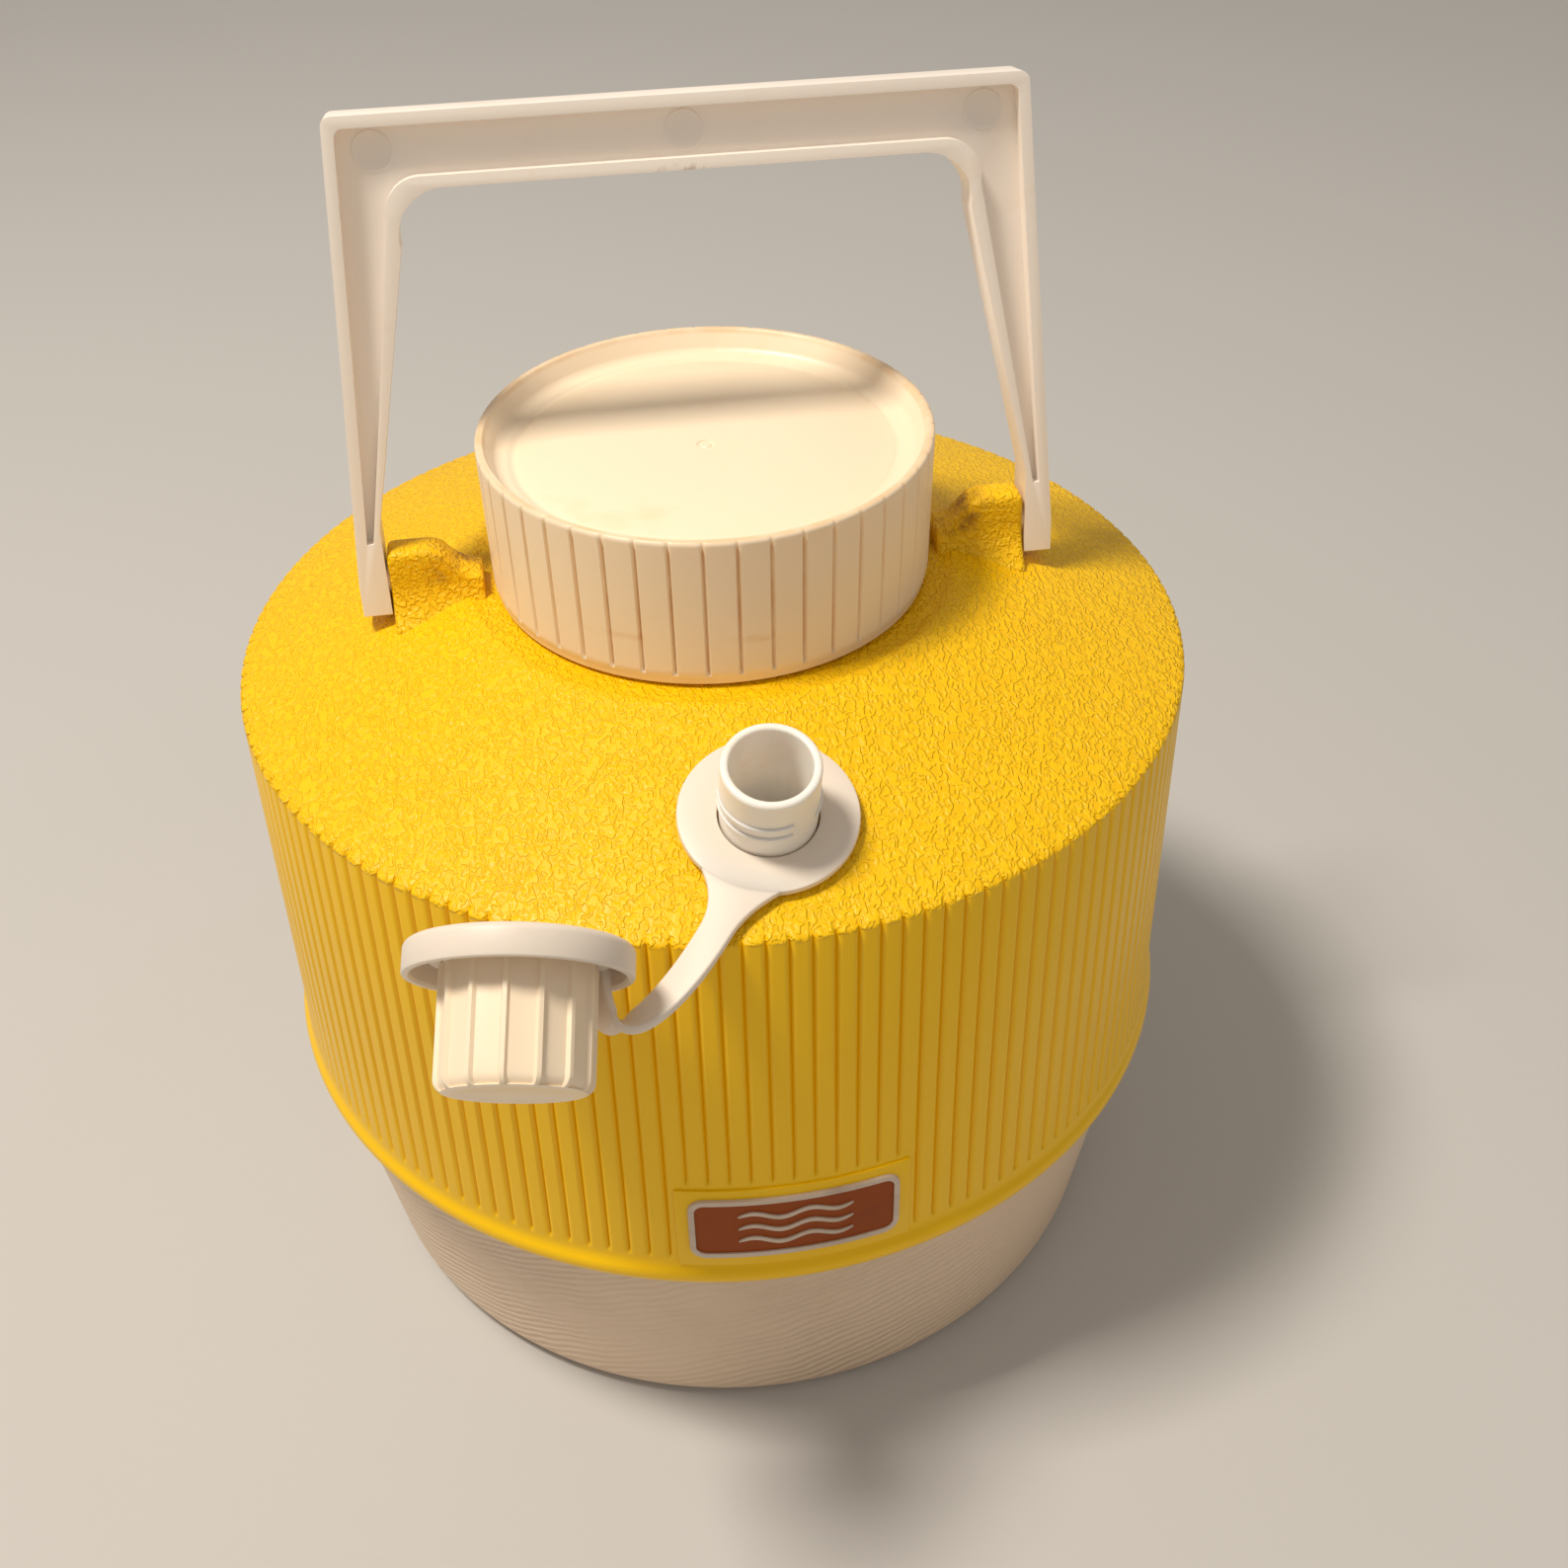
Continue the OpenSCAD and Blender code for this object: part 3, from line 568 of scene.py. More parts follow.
class Effects:
    """Shader groups that several finishes share."""

    def __init__(self) -> None:
        """Builds each group once."""
        self.pebbles = self._pebbles()
        self.handling = self._handling()
        self.ageing = self._ageing()

    @staticmethod
    def _start(name: str, inputs: dict[str, float | None],
               outputs: Sequence[str]) -> tuple[Wiring, bpy.types.NodeOutputs, bpy.types.NodeInputs]:
        """Makes an empty group.

        Args:
            name: the group's name.
            inputs: each input's name and default. None makes it a vector.
            outputs: each output's name. All are numbers.

        Returns:
            Its wiring, what comes in and what goes out.
        """
        tree = bpy.data.node_groups.new(name, "ShaderNodeTree")
        for label, default in inputs.items():
            kind = "NodeSocketVector" if default is None else "NodeSocketFloat"
            socket = tree.interface.new_socket(label, in_out="INPUT", socket_type=kind)
            if default is not None:
                socket.default_value = default
        for label in outputs:
            tree.interface.new_socket(label, in_out="OUTPUT", socket_type="NodeSocketFloat")
        entry = tree.nodes.new("NodeGroupInput")
        leave = tree.nodes.new("NodeGroupOutput")
        return Wiring(tree), entry.outputs, leave.inputs

    def _pebbles(self) -> bpy.types.NodeTree:
        """Returns: a group for the height and hollows of a moulded leather grain."""
        wiring, given, result = self._start(
            "leather_pebbles", {"Vector": None, "Pitch": 600.0}, ["Height", "Hollow"])
        stretched = wiring.mapped(given["Vector"], (1.0, 0.6, 1.0))
        worms = {"Vector": stretched, "Scale": given["Pitch"], "Detail": 0.5, "Distortion": 1.2}
        height = wiring.ramp(wiring.fed("TexNoise", worms).outputs[0], 0.36, 0.62)
        wiring.feed(result["Height"], height)
        wiring.feed(result["Hollow"], wiring.ramp(height, 0.05, 0.6, 1.0, 0.0))
        return wiring.tree

    def _handling(self) -> bpy.types.NodeTree:
        """Returns: a group for the cloudy dullness and fine scuffs of handled plastic."""
        wiring, given, result = self._start(
            "handling_wear", {"Vector": None, "Amount": 1.0}, ["Dullness", "Scuffs"])
        cloudy = wiring.ramp(wiring.noise(given["Vector"], 34.0, 4.0, 0.6), 0.35, 0.7)
        wiring.feed(result["Dullness"], wiring.product(cloudy, given["Amount"]))
        lines = wiring.mapped(given["Vector"], (210.0, 1700.0, 800.0), turn=(0.4, 0.2, 0.7))
        streaks = wiring.ramp(wiring.noise(lines, 1.0, 2.0, 0.6), 0.64, 0.74)
        patches = wiring.ramp(wiring.noise(given["Vector"], 60.0, 2.0), 0.48, 0.7)
        wiring.feed(result["Scuffs"], wiring.product(streaks, patches, given["Amount"]))
        return wiring.tree

    def _ageing(self) -> bpy.types.NodeTree:
        """Returns: a group for the soft blotches of yellowed plastic."""
        wiring, given, result = self._start(
            "ageing_blotches", {"Vector": None, "Cover": 0.5, "Size": 45.0}, ["Blotches"])
        broad = wiring.noise(given["Vector"], given["Size"], 5.0, 0.62)
        edge = wiring.maths("SUBTRACT", 0.75, wiring.product(given["Cover"], 0.5))
        share = wiring.maths("DIVIDE", wiring.maths("SUBTRACT", broad, edge), 0.3)
        wiring.feed(result["Blotches"], wiring.maths("MINIMUM", wiring.maths("MAXIMUM", share, 0.0), 1.0))
        return wiring.tree


# ---- Finishes ---------------------------------------------------------------


@dataclass(frozen=True)
class Surface:
    """What a finish's own pattern gives the shader."""

    colour: bpy.types.NodeSocket
    roughness: bpy.types.NodeSocket | float
    height: bpy.types.NodeSocket | float
    depth: float


@dataclass(frozen=True)
class Plastic:
    """Plain moulded plastic, a little aged and handled."""

    name: str
    colour: Colour
    aged: Colour
    roughness: float = 0.4
    cover: float = 0.4
    wear: float = 0.5
    see_in: float = 0.0
    shine: float = 0.5
    skin: float = 0.02 * MM
    dulled: float = 0.12
    scuffed: float = 0.2
    ior: float = 1.49
    see_in_depth: float = 2 * MM
    see_in_tint: Colour = (1.0, 0.8, 0.6)

    def pattern(self, wiring: Wiring, effects: Effects, spot: bpy.types.NodeSocket) -> Surface:
        """Draws the finish.

        Args:
            wiring: the material's wiring.
            effects: the shared groups.
            spot: the coordinates.

        Returns:
            The colour, roughness and relief.
        """
        blotches = wiring.group(effects.ageing, Vector=spot, Cover=self.cover)["Blotches"]
        wear = wiring.group(effects.handling, Vector=spot, Amount=self.wear)
        colour = wiring.mix(blotches, self.colour, self.aged)
        roughness = wiring.total(self.roughness, wiring.product(wear["Dullness"], self.dulled),
                                 wiring.product(wear["Scuffs"], self.scuffed))
        height = wiring.total(wiring.noise(spot, 700.0, 2.0), wiring.product(wear["Scuffs"], -0.5))
        return Surface(colour, roughness, height, self.skin)

    def build(self, effects: Effects) -> bpy.types.Material:
        """Returns: the finished material."""
        material = bpy.data.materials.new(self.name)
        material.use_nodes = True
        wiring = Wiring(material.node_tree)
        shader = next(n for n in material.node_tree.nodes if n.type == "BSDF_PRINCIPLED")
        surface = self.pattern(wiring, effects, wiring.spot())
        wiring.feed(shader.inputs["Base Color"], surface.colour)
        wiring.feed(shader.inputs["Roughness"], surface.roughness)
        wiring.feed(shader.inputs["Normal"], wiring.bump(surface.height, surface.depth))
        shader.inputs["IOR"].default_value = self.ior
        shader.inputs["Specular IOR Level"].default_value = self.shine
        if self.see_in:
            shader.inputs["Subsurface Weight"].default_value = self.see_in
            shader.inputs["Subsurface Radius"].default_value = self.see_in_tint
            shader.inputs["Subsurface Scale"].default_value = self.see_in_depth
        return material


@dataclass(frozen=True)
class ShellYellow(Plastic):
    """Golden shell: pebbled on the shoulder and lugs, nearly smooth on the ribs."""

    # Deep amber used as painted shade in the grain's hollows and in the skirt's grooves.
    hollow: Colour = (0.80, 0.36, 0.0)
    brown: Colour = (0.30, 0.13, 0.02)
    rim_z: float = 0.164
    rim_r: float = 0.108
    flare: float = 0.0214
    grain_pitch: float = 780.0
    grain_depth: float = 0.26 * MM
    # Share of painted shade tinted into the hollows of the shoulder's grain.
    grain_dulls: float = 0.08
    hollow_share: float = 0.2
    # Share of painted shade tinted into the bottoms of the skirt's grooves.
    groove_shade_share: float = 0.12
    stain_share: float = 0.8
    stain_ends: tuple[float, float] = (0.066, 0.058)
    stain_rises: tuple[float, float] = (0.1836, 0.1858)
    rib_grain: float = 0.06

    def pattern(self, wiring: Wiring, effects: Effects, spot: bpy.types.NodeSocket) -> Surface:
        """Returns: the grain on top with painted shade in its hollows, painted shade in the grooves and
        stains beside the lid.
        """
        plain = Plastic.pattern(self, wiring, effects, spot)
        x, _, z = wiring.parts(spot)
        on_top = wiring.ramp(z, self.rim_z - 1.2 * MM, self.rim_z - 0.2 * MM)
        grain = wiring.group(effects.pebbles, Vector=spot, Pitch=self.grain_pitch)
        # Painted shade: the hollows of the grain on the shoulder are tinted towards the deep amber.
        shade = wiring.product(grain["Hollow"], on_top, self.hollow_share)
        colour = wiring.mix(shade, plain.colour, self.hollow)
        drop = wiring.maths("SUBTRACT", self.rim_z, z)
        rib_face = wiring.total(self.rim_r, wiring.product(drop, self.flare))
        sunk = wiring.maths("SUBTRACT", rib_face, wiring.radius(spot))
        below = wiring.maths("SUBTRACT", 1.0, on_top)
        # Painted shade: the bottoms of the skirt's grooves are tinted towards the deep amber.
        groove_shade = wiring.product(wiring.ramp(sunk, 0.3 * MM, 0.9 * MM), below, self.groove_shade_share)
        colour = wiring.mix(groove_shade, colour, self.hollow)
        by_lid = wiring.ramp(wiring.maths("ABSOLUTE", x), *self.stain_ends)
        high = wiring.ramp(z, *self.stain_rises)
        patch = wiring.ramp(wiring.noise(spot, 150.0, 3.0, 0.6), 0.42, 0.66)
        stain = wiring.product(high, by_lid, patch, self.stain_share)
        colour = wiring.mix(stain, colour, self.brown)
        ribs = wiring.product(wiring.noise(spot, 900.0, 2.0), self.rib_grain)
        height = wiring.blend_values(on_top, ribs, grain["Height"])
        roughness = wiring.total(plain.roughness, wiring.product(on_top, self.grain_dulls))
        return Surface(colour, roughness, height, self.grain_depth)


@dataclass(frozen=True)
class BaseIvory(Plastic):
    """Off-white base with the long wrinkles of soft leather."""

    lean: tuple[float, float, float] = (0.35, 0.3, 0.0)
    wave_pitch: float = 125.0
    wander: float = 7.0
    fold_depth: float = 0.45 * MM
    dust_share: float = 0.08

    def pattern(self, wiring: Wiring, effects: Effects, spot: bpy.types.NodeSocket) -> Surface:
        """Returns: wrinkles that wander round the base, with dust in them."""
        plain = Plastic.pattern(self, wiring, effects, spot)
        given = {"Vector": wiring.mapped(spot, turn=self.lean), "Scale": self.wave_pitch,
                 "Distortion": self.wander, "Detail": 2.0, "Detail Scale": 0.45, "Detail Roughness": 0.5}
        waves = wiring.fed("TexWave", given, wave_type="BANDS", bands_direction="Z", wave_profile="SIN")
        patches = wiring.ramp(wiring.noise(spot, 22.0, 2.0), 0.38, 0.6, 0.4, 1.0)
        x, _, _ = wiring.parts(spot)
        calm = wiring.ramp(x, 0.0, 0.07, 1.0, 0.25)
        folds = wiring.product(waves.outputs["Fac"], patches, calm)
        height = wiring.total(folds, wiring.product(wiring.noise(spot, 500.0, 3.0), 0.25))
        colour = wiring.mix(wiring.product(folds, self.dust_share), plain.colour, self.aged)
        return Surface(colour, plain.roughness, height, self.fold_depth)


@dataclass(frozen=True)
class LidCream(Plastic):
    """Cream lid, amber in its grip grooves, along its rim and in a band low on its side."""

    amber: Colour = (0.72, 0.40, 0.13)
    side_r: float = 0.0490
    low: float = 0.18095
    top: float = 0.21515
    draft: float = 0.0117
    outer_r: tuple[float, float] = (0.0470, 0.0474)
    rim_r: tuple[float, float] = (0.0478, 0.0492)
    groove_share: float = 0.42
    tide: tuple[float, float] = (0.1942, 0.1948)
    tide_wander: float = 5 * MM
    tide_share: float = 0.6
    rim_share: float = 0.2

    def pattern(self, wiring: Wiring, effects: Effects, spot: bpy.types.NodeSocket) -> Surface:
        """Returns: the lid's stains."""
        plain = Plastic.pattern(self, wiring, effects, spot)
        _, _, z = wiring.parts(spot)
        distance = wiring.radius(spot)
        face = wiring.total(self.side_r, wiring.product(wiring.maths("SUBTRACT", z, self.low), self.draft))
        sunk = wiring.maths("SUBTRACT", face, distance)
        outside = wiring.ramp(distance, *self.outer_r)
        patch = wiring.ramp(wiring.noise(spot, 120.0, 3.0), 0.35, 0.65, 0.35, 1.0)
        in_groove = wiring.product(wiring.ramp(sunk, 0.15 * MM, 0.7 * MM), outside, patch, self.groove_share)
        colour = wiring.mix(in_groove, plain.colour, self.amber)
        level = wiring.total(z, wiring.product(wiring.noise(spot, 40.0), self.tide_wander))
        tide = wiring.band(level, *self.tide, 0.9 * MM)
        drops = wiring.ramp(wiring.noise(spot, 55.0, 4.0), 0.5, 0.72)
        colour = wiring.mix(wiring.product(tide, drops, outside, self.tide_share), colour, self.amber)
        near_top = wiring.ramp(z, self.top - 0.7 * MM, self.top - 0.1 * MM)
        rim = wiring.product(near_top, wiring.ramp(distance, *self.rim_r), self.rim_share)
        colour = wiring.mix(rim, colour, self.amber)
        return Surface(colour, plain.roughness, plain.height, plain.depth)


@dataclass(frozen=True)
class HandleWhite(Plastic):
    """Warm white handle with a scuffed stain under the middle of its grip."""

    brown: Colour = (0.35, 0.20, 0.10)
    grip_z: float = 0.265
    stain_x: tuple[float, float] = (-4 * MM, 2 * MM)
    stain_fade: float = 3 * MM
    stain_share: float = 0.75

    def pattern(self, wiring: Wiring, effects: Effects, spot: bpy.types.NodeSocket) -> Surface:
        """Returns: the plain finish with the grip's stain."""
        plain = Plastic.pattern(self, wiring, effects, spot)
        x, _, z = wiring.parts(spot)
        low = wiring.ramp(z, self.grip_z + self.stain_fade, self.grip_z)
        near = wiring.product(wiring.band(x, *self.stain_x, self.stain_fade), low)
        patch = wiring.ramp(wiring.noise(spot, 420.0, 4.0, 0.7), 0.47, 0.6)
        colour = wiring.mix(wiring.product(near, patch, self.stain_share), plain.colour, self.brown)
        return Surface(colour, plain.roughness, plain.height, plain.depth)


@dataclass(frozen=True)
class Foam(Plastic):
    """Rigid foam, open-celled where it is cut."""

    cell_pitch: float = 900.0
    cell_depth: float = 0.3 * MM

    def pattern(self, wiring: Wiring, effects: Effects, spot: bpy.types.NodeSocket) -> Surface:
        """Returns: cells and their shaded hollows."""
        cells = wiring.fed("TexVoronoi", {"Vector": spot, "Scale": self.cell_pitch})
        hollow = wiring.ramp(cells.outputs["Distance"], 0.1, 0.6)
        colour = wiring.mix(hollow, self.colour, self.aged)
        return Surface(colour, self.roughness, hollow, self.cell_depth)


class Slot(Enum):
    """The record's material slots."""

    SHELL = "yellow_shell"
    BASE = "ivory_base"
    LID = "cream_lid"
    HANDLE = "white_handle"
    TETHER = "white_soft"
    SPOUT = "white_spout"
    LINER = "white_liner"
    FOAM = "foam"
    SEAL = "seal"
    BADGE = "badge_face"


FINISHES: dict[Slot, Plastic] = {
    Slot.SHELL: ShellYellow("shell_yellow", (0.94, 0.56, 0.002), (0.93, 0.50, 0.002), roughness=0.30,
                            cover=0.3, wear=0.4, see_in=0.05, shine=0.3),
    Slot.BASE: BaseIvory("base_ivory", (0.74, 0.57, 0.41), (0.66, 0.48, 0.32), roughness=0.46,
                         cover=0.3, wear=0.4, see_in=0.08),
    Slot.LID: LidCream("lid_cream", (0.93, 0.77, 0.57), (0.88, 0.66, 0.40), roughness=0.36,
                       cover=0.3, wear=0.3, see_in=0.12),
    Slot.HANDLE: HandleWhite("handle_white", (0.94, 0.85, 0.76), (0.88, 0.72, 0.56), roughness=0.36,
                             cover=0.3, wear=0.6, see_in=0.08),
    Slot.TETHER: Plastic("tether_soft_white", (0.80, 0.71, 0.61), (0.75, 0.63, 0.50), roughness=0.45,
                         cover=0.3, wear=0.3, see_in=0.25),
    Slot.SPOUT: Plastic("spout_white", (0.94, 0.88, 0.80), (0.86, 0.74, 0.60), roughness=0.3,
                        cover=0.3, wear=0.3, see_in=0.4),
    Slot.LINER: Plastic("liner_white", (0.84, 0.83, 0.80), (0.74, 0.68, 0.58), roughness=0.34,
                        cover=0.3, wear=0.2, see_in=0.1),
    Slot.FOAM: Foam("foam_buff", (0.78, 0.70, 0.48), (0.48, 0.38, 0.20), roughness=0.9),
    Slot.SEAL: Plastic("seal_rubber", (0.045, 0.043, 0.04), (0.10, 0.09, 0.08), roughness=0.7,
                       wear=0.4),
    Slot.BADGE: Plastic("badge_rust", (0.30, 0.058, 0.002), (0.20, 0.032, 0.002), roughness=0.42,
                        wear=0.6, shine=0.2),
}
TRIM = Plastic("badge_trim", (0.62, 0.50, 0.40), (0.36, 0.25, 0.17), roughness=0.3, cover=0.5, wear=0.8)



# ---- Shared sizes -----------------------------------------------------------


@dataclass(frozen=True)
class Layout:
    """Sizes that several sub-assemblies share."""

    rim_r: float = 108 * MM
    rim_z: float = 164 * MM
    lip_r: float = 110 * MM
    lip_bottom: float = 62.5 * MM
    lip_top: float = 70.5 * MM
    shell_wall: float = 2.6 * MM
    slope: float = math.radians(18)
    lid_r: float = 49.7 * MM
    neck_r: float = 42.6 * MM
    thread_depth: float = 1.6 * MM
    lug_face_x: float = 71.4 * MM
    pivot_lift: float = 9.1 * MM
    stud_r: float = 3.5 * MM
    spout_inset: float = 25.5 * MM
    spout_out_r: float = 9.7 * MM
    panel_w: float = 51.2 * MM
    panel_top: float = 94.2 * MM
    panel_proud: float = 0.5 * MM

    @property
    def collar_r(self) -> float:
        """Returns: the inner edge of the sloping shoulder."""
        return self.lid_r + 4.6 * MM

    @property
    def ledge_z(self) -> float:
        """Returns: the height of the ledge under the lid."""
        return self.shoulder_z(self.collar_r) - 1.2 * MM

    @property
    def pivot_z(self) -> float:
        """Returns: the height of the handle's pivot."""
        return self.shoulder_z(self.lug_face_x) + self.pivot_lift

    @property
    def flare(self) -> float:
        """Returns: how much the skirt's radius grows for each unit of drop."""
        return (self.lip_r - self.rim_r) / (self.rim_z - self.lip_top)

    def shoulder_z(self, radius: float) -> float:
        """Returns: the shoulder's height at a radius."""
        return self.rim_z + (self.rim_r - radius) * math.tan(self.slope)

    def skirt_r(self, height: float) -> float:
        """Returns: the skirt's radius over its ribs at a height."""
        return self.rim_r + (self.rim_z - height) * self.flare

    @property
    def at_spout(self) -> Matrix:
        """Returns: the frame of the spout's foot, with +Z along the spout."""
        radius = self.rim_r - self.spout_inset
        place = Matrix.Translation((0, -radius, self.shoulder_z(radius)))
        return place @ Matrix.Rotation(self.slope, 4, "X")


class Workshop:
    """The materials, and what every new piece gets at the end."""

    def __init__(self) -> None:
        """Builds every material once."""
        effects = Effects()
        self.materials = {slot: finish.build(effects) for slot, finish in FINISHES.items()}
        self.trim = TRIM.build(effects)

    def dress(self, piece: bpy.types.Object, slot: Slot, trim: bool = False) -> None:
        piece.data.materials.clear()
        piece.data.materials.append(self.trim if trim else self.materials[slot])

    def issue(self, piece: bpy.types.Object, slot: Slot, body: str,
              stands_for: Sequence[str] = (), trim: bool = False) -> bpy.types.Object:
        """Dresses a piece in its slot's finish, puts it on its body and hides the CAD nodes that it replaces.

        Args:
            piece: the finished piece.
            slot: the record's slot that it takes its finish from.
            body: the body that it rides on.
            stands_for: the CAD nodes that it replaces.
            trim: gives it the badge's pale trim in place of the slot's finish.

        Returns:
            The piece.
        """
        self.dress(piece, slot, trim)
        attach(piece, body)
        if stands_for:
            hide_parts(*stands_for)
        LOG.info("%s: %d faces on %s", piece.name, len(piece.data.polygons), body)
        return piece

    def redress(self, node: str, slot: Slot) -> None:
        """Gives a CAD node that stays a better material."""
        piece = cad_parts[node]
        if not piece.data.materials:
            piece.data.materials.append(None)
        for place in piece.material_slots:
            place.material = self.materials[slot]
        LOG.info("%s: CAD node with %s", node, slot.value)


# ---- Shell ------------------------------------------------------------------


@dataclass(frozen=True)
class Shell:
    """Ribbed upper shell with its lip, badge panel and two pivot lugs."""

    size: Layout
    rib_count: int = 150
    steps_per_rib: int = 10
    groove_depth: float = 0.95 * MM
    groove_shares: tuple[float, ...] = (1.0, 0.3)
    lip_round: float = 3.4 * MM
    lip_proud: float = 1.6 * MM
    lug_rise: float = 7.5 * MM
    lug_half_t: float = 3.6 * MM
    lug_voxel: float = 0.55 * MM
    lug_smoothing: int = 12
    lug_span: float = 60 * MM
    lug_reach: float = 0.3
    drill_gap: float = 0.2 * MM
    drill_len: float = 20 * MM
    stud_gap: float = 0.06 * MM
    bore_len: float = 15 * MM

    def outline(self) -> Outline:
        """Returns: the shell's section, once round from the mouth."""
        size = self.size
        drop = size.shell_wall / math.cos(size.slope)
        mouth_r = size.neck_r + size.thread_depth + 0.4 * MM
        edge, soft = size.rim_r, 0.8 * MM
        middle = 0.5 * (size.rim_z + size.lip_top)
        panel_rows = [size.panel_top + lift * MM for lift in (2.6, 1.4)]
        lip_centre = (size.lip_r + self.lip_proud - self.lip_round, size.lip_bottom + self.lip_round)
        outside = [
            (mouth_r, size.ledge_z),
            (size.collar_r - 1.8 * MM, size.ledge_z), (size.collar_r - 0.9 * MM, size.ledge_z + 0.25 * MM),
            (size.collar_r, size.ledge_z + 0.62 * MM), (size.collar_r + 1 * MM, size.ledge_z + 0.82 * MM),
            (size.collar_r + 2 * MM, size.shoulder_z(size.collar_r + 2 * MM)),
            *((edge - inset * MM, size.shoulder_z(edge - inset * MM)) for inset in (30, 12, 2.2)),
            (edge - 1.1 * MM, size.shoulder_z(edge - 1.1 * MM) - 0.02 * MM),
            (edge - 0.45 * MM, size.rim_z - 0.05 * MM),
            (edge - 0.1 * MM, size.rim_z - 0.4 * MM),
            (edge, size.rim_z - soft),
            *((size.skirt_r(height), height) for height in (middle, *panel_rows)),
            *((size.skirt_r(size.lip_top), size.lip_top + lift * MM) for lift in (1.6, 0.7)),
            (size.lip_r + 0.05 * MM, size.lip_top - 0.3 * MM),
            *rounded_corner(lip_centre, self.lip_round, 50, -75, 9),
        ]
        inside = [
            (size.skirt_r(size.lip_bottom) - size.shell_wall, size.lip_bottom),
            (edge - size.shell_wall, size.rim_z - 3 * MM),
            (edge - size.shell_wall - 3 * MM, size.shoulder_z(edge - size.shell_wall - 3 * MM) - drop),
            (size.collar_r + 1 * MM, size.shoulder_z(size.collar_r + 1 * MM) - drop),
            (size.collar_r - 1 * MM, size.ledge_z - size.shell_wall),
            (mouth_r, size.ledge_z - size.shell_wall),
            (mouth_r, size.ledge_z),
        ]
        return outside + inside

    def in_groove(self, points: np.ndarray, offset: int) -> np.ndarray:
        """Finds the corners along the grooves.

        Args:
            points: the piece's corners.
            offset: 0 for the bottoms of the grooves, 1 for their softened edges.

        Returns:
            Which corners are wanted.
        """
        size = self.size
        x, y, z = points.T
        turns = around(points)
        step = np.rint(turns * self.rib_count * self.steps_per_rib).astype(int)
        off_front = np.minimum(turns, 1 - turns) * FULL_TURN
        by_panel = off_front < (size.panel_w / 2 + 1 * MM) / size.lip_r
        low = np.where(by_panel, size.panel_top + 2 * MM, size.lip_top + 1.2 * MM)
        outer = np.hypot(x, y) > size.rim_r - 1.2 * MM
        away = np.minimum(step % self.steps_per_rib, -step % self.steps_per_rib)
        return (away == offset) & outer & (z > low) & (z < size.rim_z + 1 * MM)

    def skirt(self) -> bpy.types.Object:
        """Returns: the shell with its grooves and the spout's hole."""
        size = self.size
        piece = turned("top_shell_visual", self.outline(), self.rib_count * self.steps_per_rib)
        with editing(piece):
            for offset, share in enumerate(self.groove_shares):
                factor = 1 - share * self.groove_depth / size.rim_r
                squeeze(piece, partial(self.in_groove, offset=offset), factor)
        radius = size.spout_out_r + self.drill_gap
        bpy.ops.mesh.primitive_cylinder_add(vertices=64, radius=radius, depth=self.drill_len)
        return cut(piece, stand(bpy.context.object, size.at_spout))

    def panel(self) -> bpy.types.Object:
        """Returns: the plain raised panel behind the badge."""
        size = self.size
        slab = rounded_slab(size.panel_w, size.lip_top - 1 * MM, size.panel_top, 0.6 * MM, size.rim_r)
        piece = kept(slab, skirt_ring(size, "panel_ring", -1 * MM, size.panel_proud))
        return softened(named(piece, "badge_panel"), 0.3 * MM)

    def lug(self, side: int) -> bpy.types.Object:
        """Models one lug that carries the handle's stud.

        Args:
            side: 1 for +X, -1 for -X.

        Returns:
            The lug, blended into a flare at its foot.
        """
        size = self.size
        low, top = size.rim_z - 3 * MM, size.pivot_z + self.lug_rise
        saddle = size.ledge_z + 5.5 * MM
        half, fillet = self.lug_half_t, 12 * MM
        inner = size.lid_r + 1.4 * MM
        face = size.lug_face_x
        long_view = [
            (inner, low), (face, low),
            *rounded_corner((face - 2 * MM, top - 2 * MM), 2 * MM, 0, 90, 3),
            *rounded_corner((face - 8 * MM, top - 6 * MM), 6 * MM, 90, 135, 4),
            (size.collar_r + 3 * MM, saddle + 2.7 * MM), (size.collar_r + 1.3 * MM, saddle + 1 * MM),
            (size.collar_r - 0.6 * MM, saddle), (inner, saddle - 0.7 * MM),
        ]
        centre = half + 0.8 * MM + fillet
        right = [
            (half + 7 * MM, low),
            *rounded_corner((centre, size.pivot_z + 2 * MM), fillet, 240, 180, 7),
            *rounded_corner((half - 1.6 * MM, top - 2 * MM), 2 * MM, 0, 90, 3),
        ]
        end_view = right + [(-x, z) for x, z in reversed(right)]
        body = extruded("lug", [(side * x, z) for x, z in long_view], self.lug_span)
        across = stand(extruded("lug_end", end_view, self.lug_reach), Matrix.Rotation(math.pi / 2, 4, "Z"))
        piece = kept(body, across)
        applied(piece, "REMESH", mode="VOXEL", voxel_size=self.lug_voxel)
        applied(piece, "SMOOTH", factor=0.5, iterations=self.lug_smoothing)
        bore = Matrix.Translation((side * face, 0, size.pivot_z)) @ Matrix.Rotation(math.pi / 2, 4, "Y")
        radius = size.stud_r + self.stud_gap
        bpy.ops.mesh.primitive_cylinder_add(vertices=48, radius=radius, depth=self.bore_len)
        return smooth(cut(piece, stand(bpy.context.object, bore)))

    def build(self, shop: Workshop) -> None:
        """Builds the shell."""
        parts = [smooth(self.skirt()), self.panel(), self.lug(1), self.lug(-1)]
        shop.issue(joined(parts, "top_shell_visual"), Slot.SHELL, "jug", ["top_shell"])


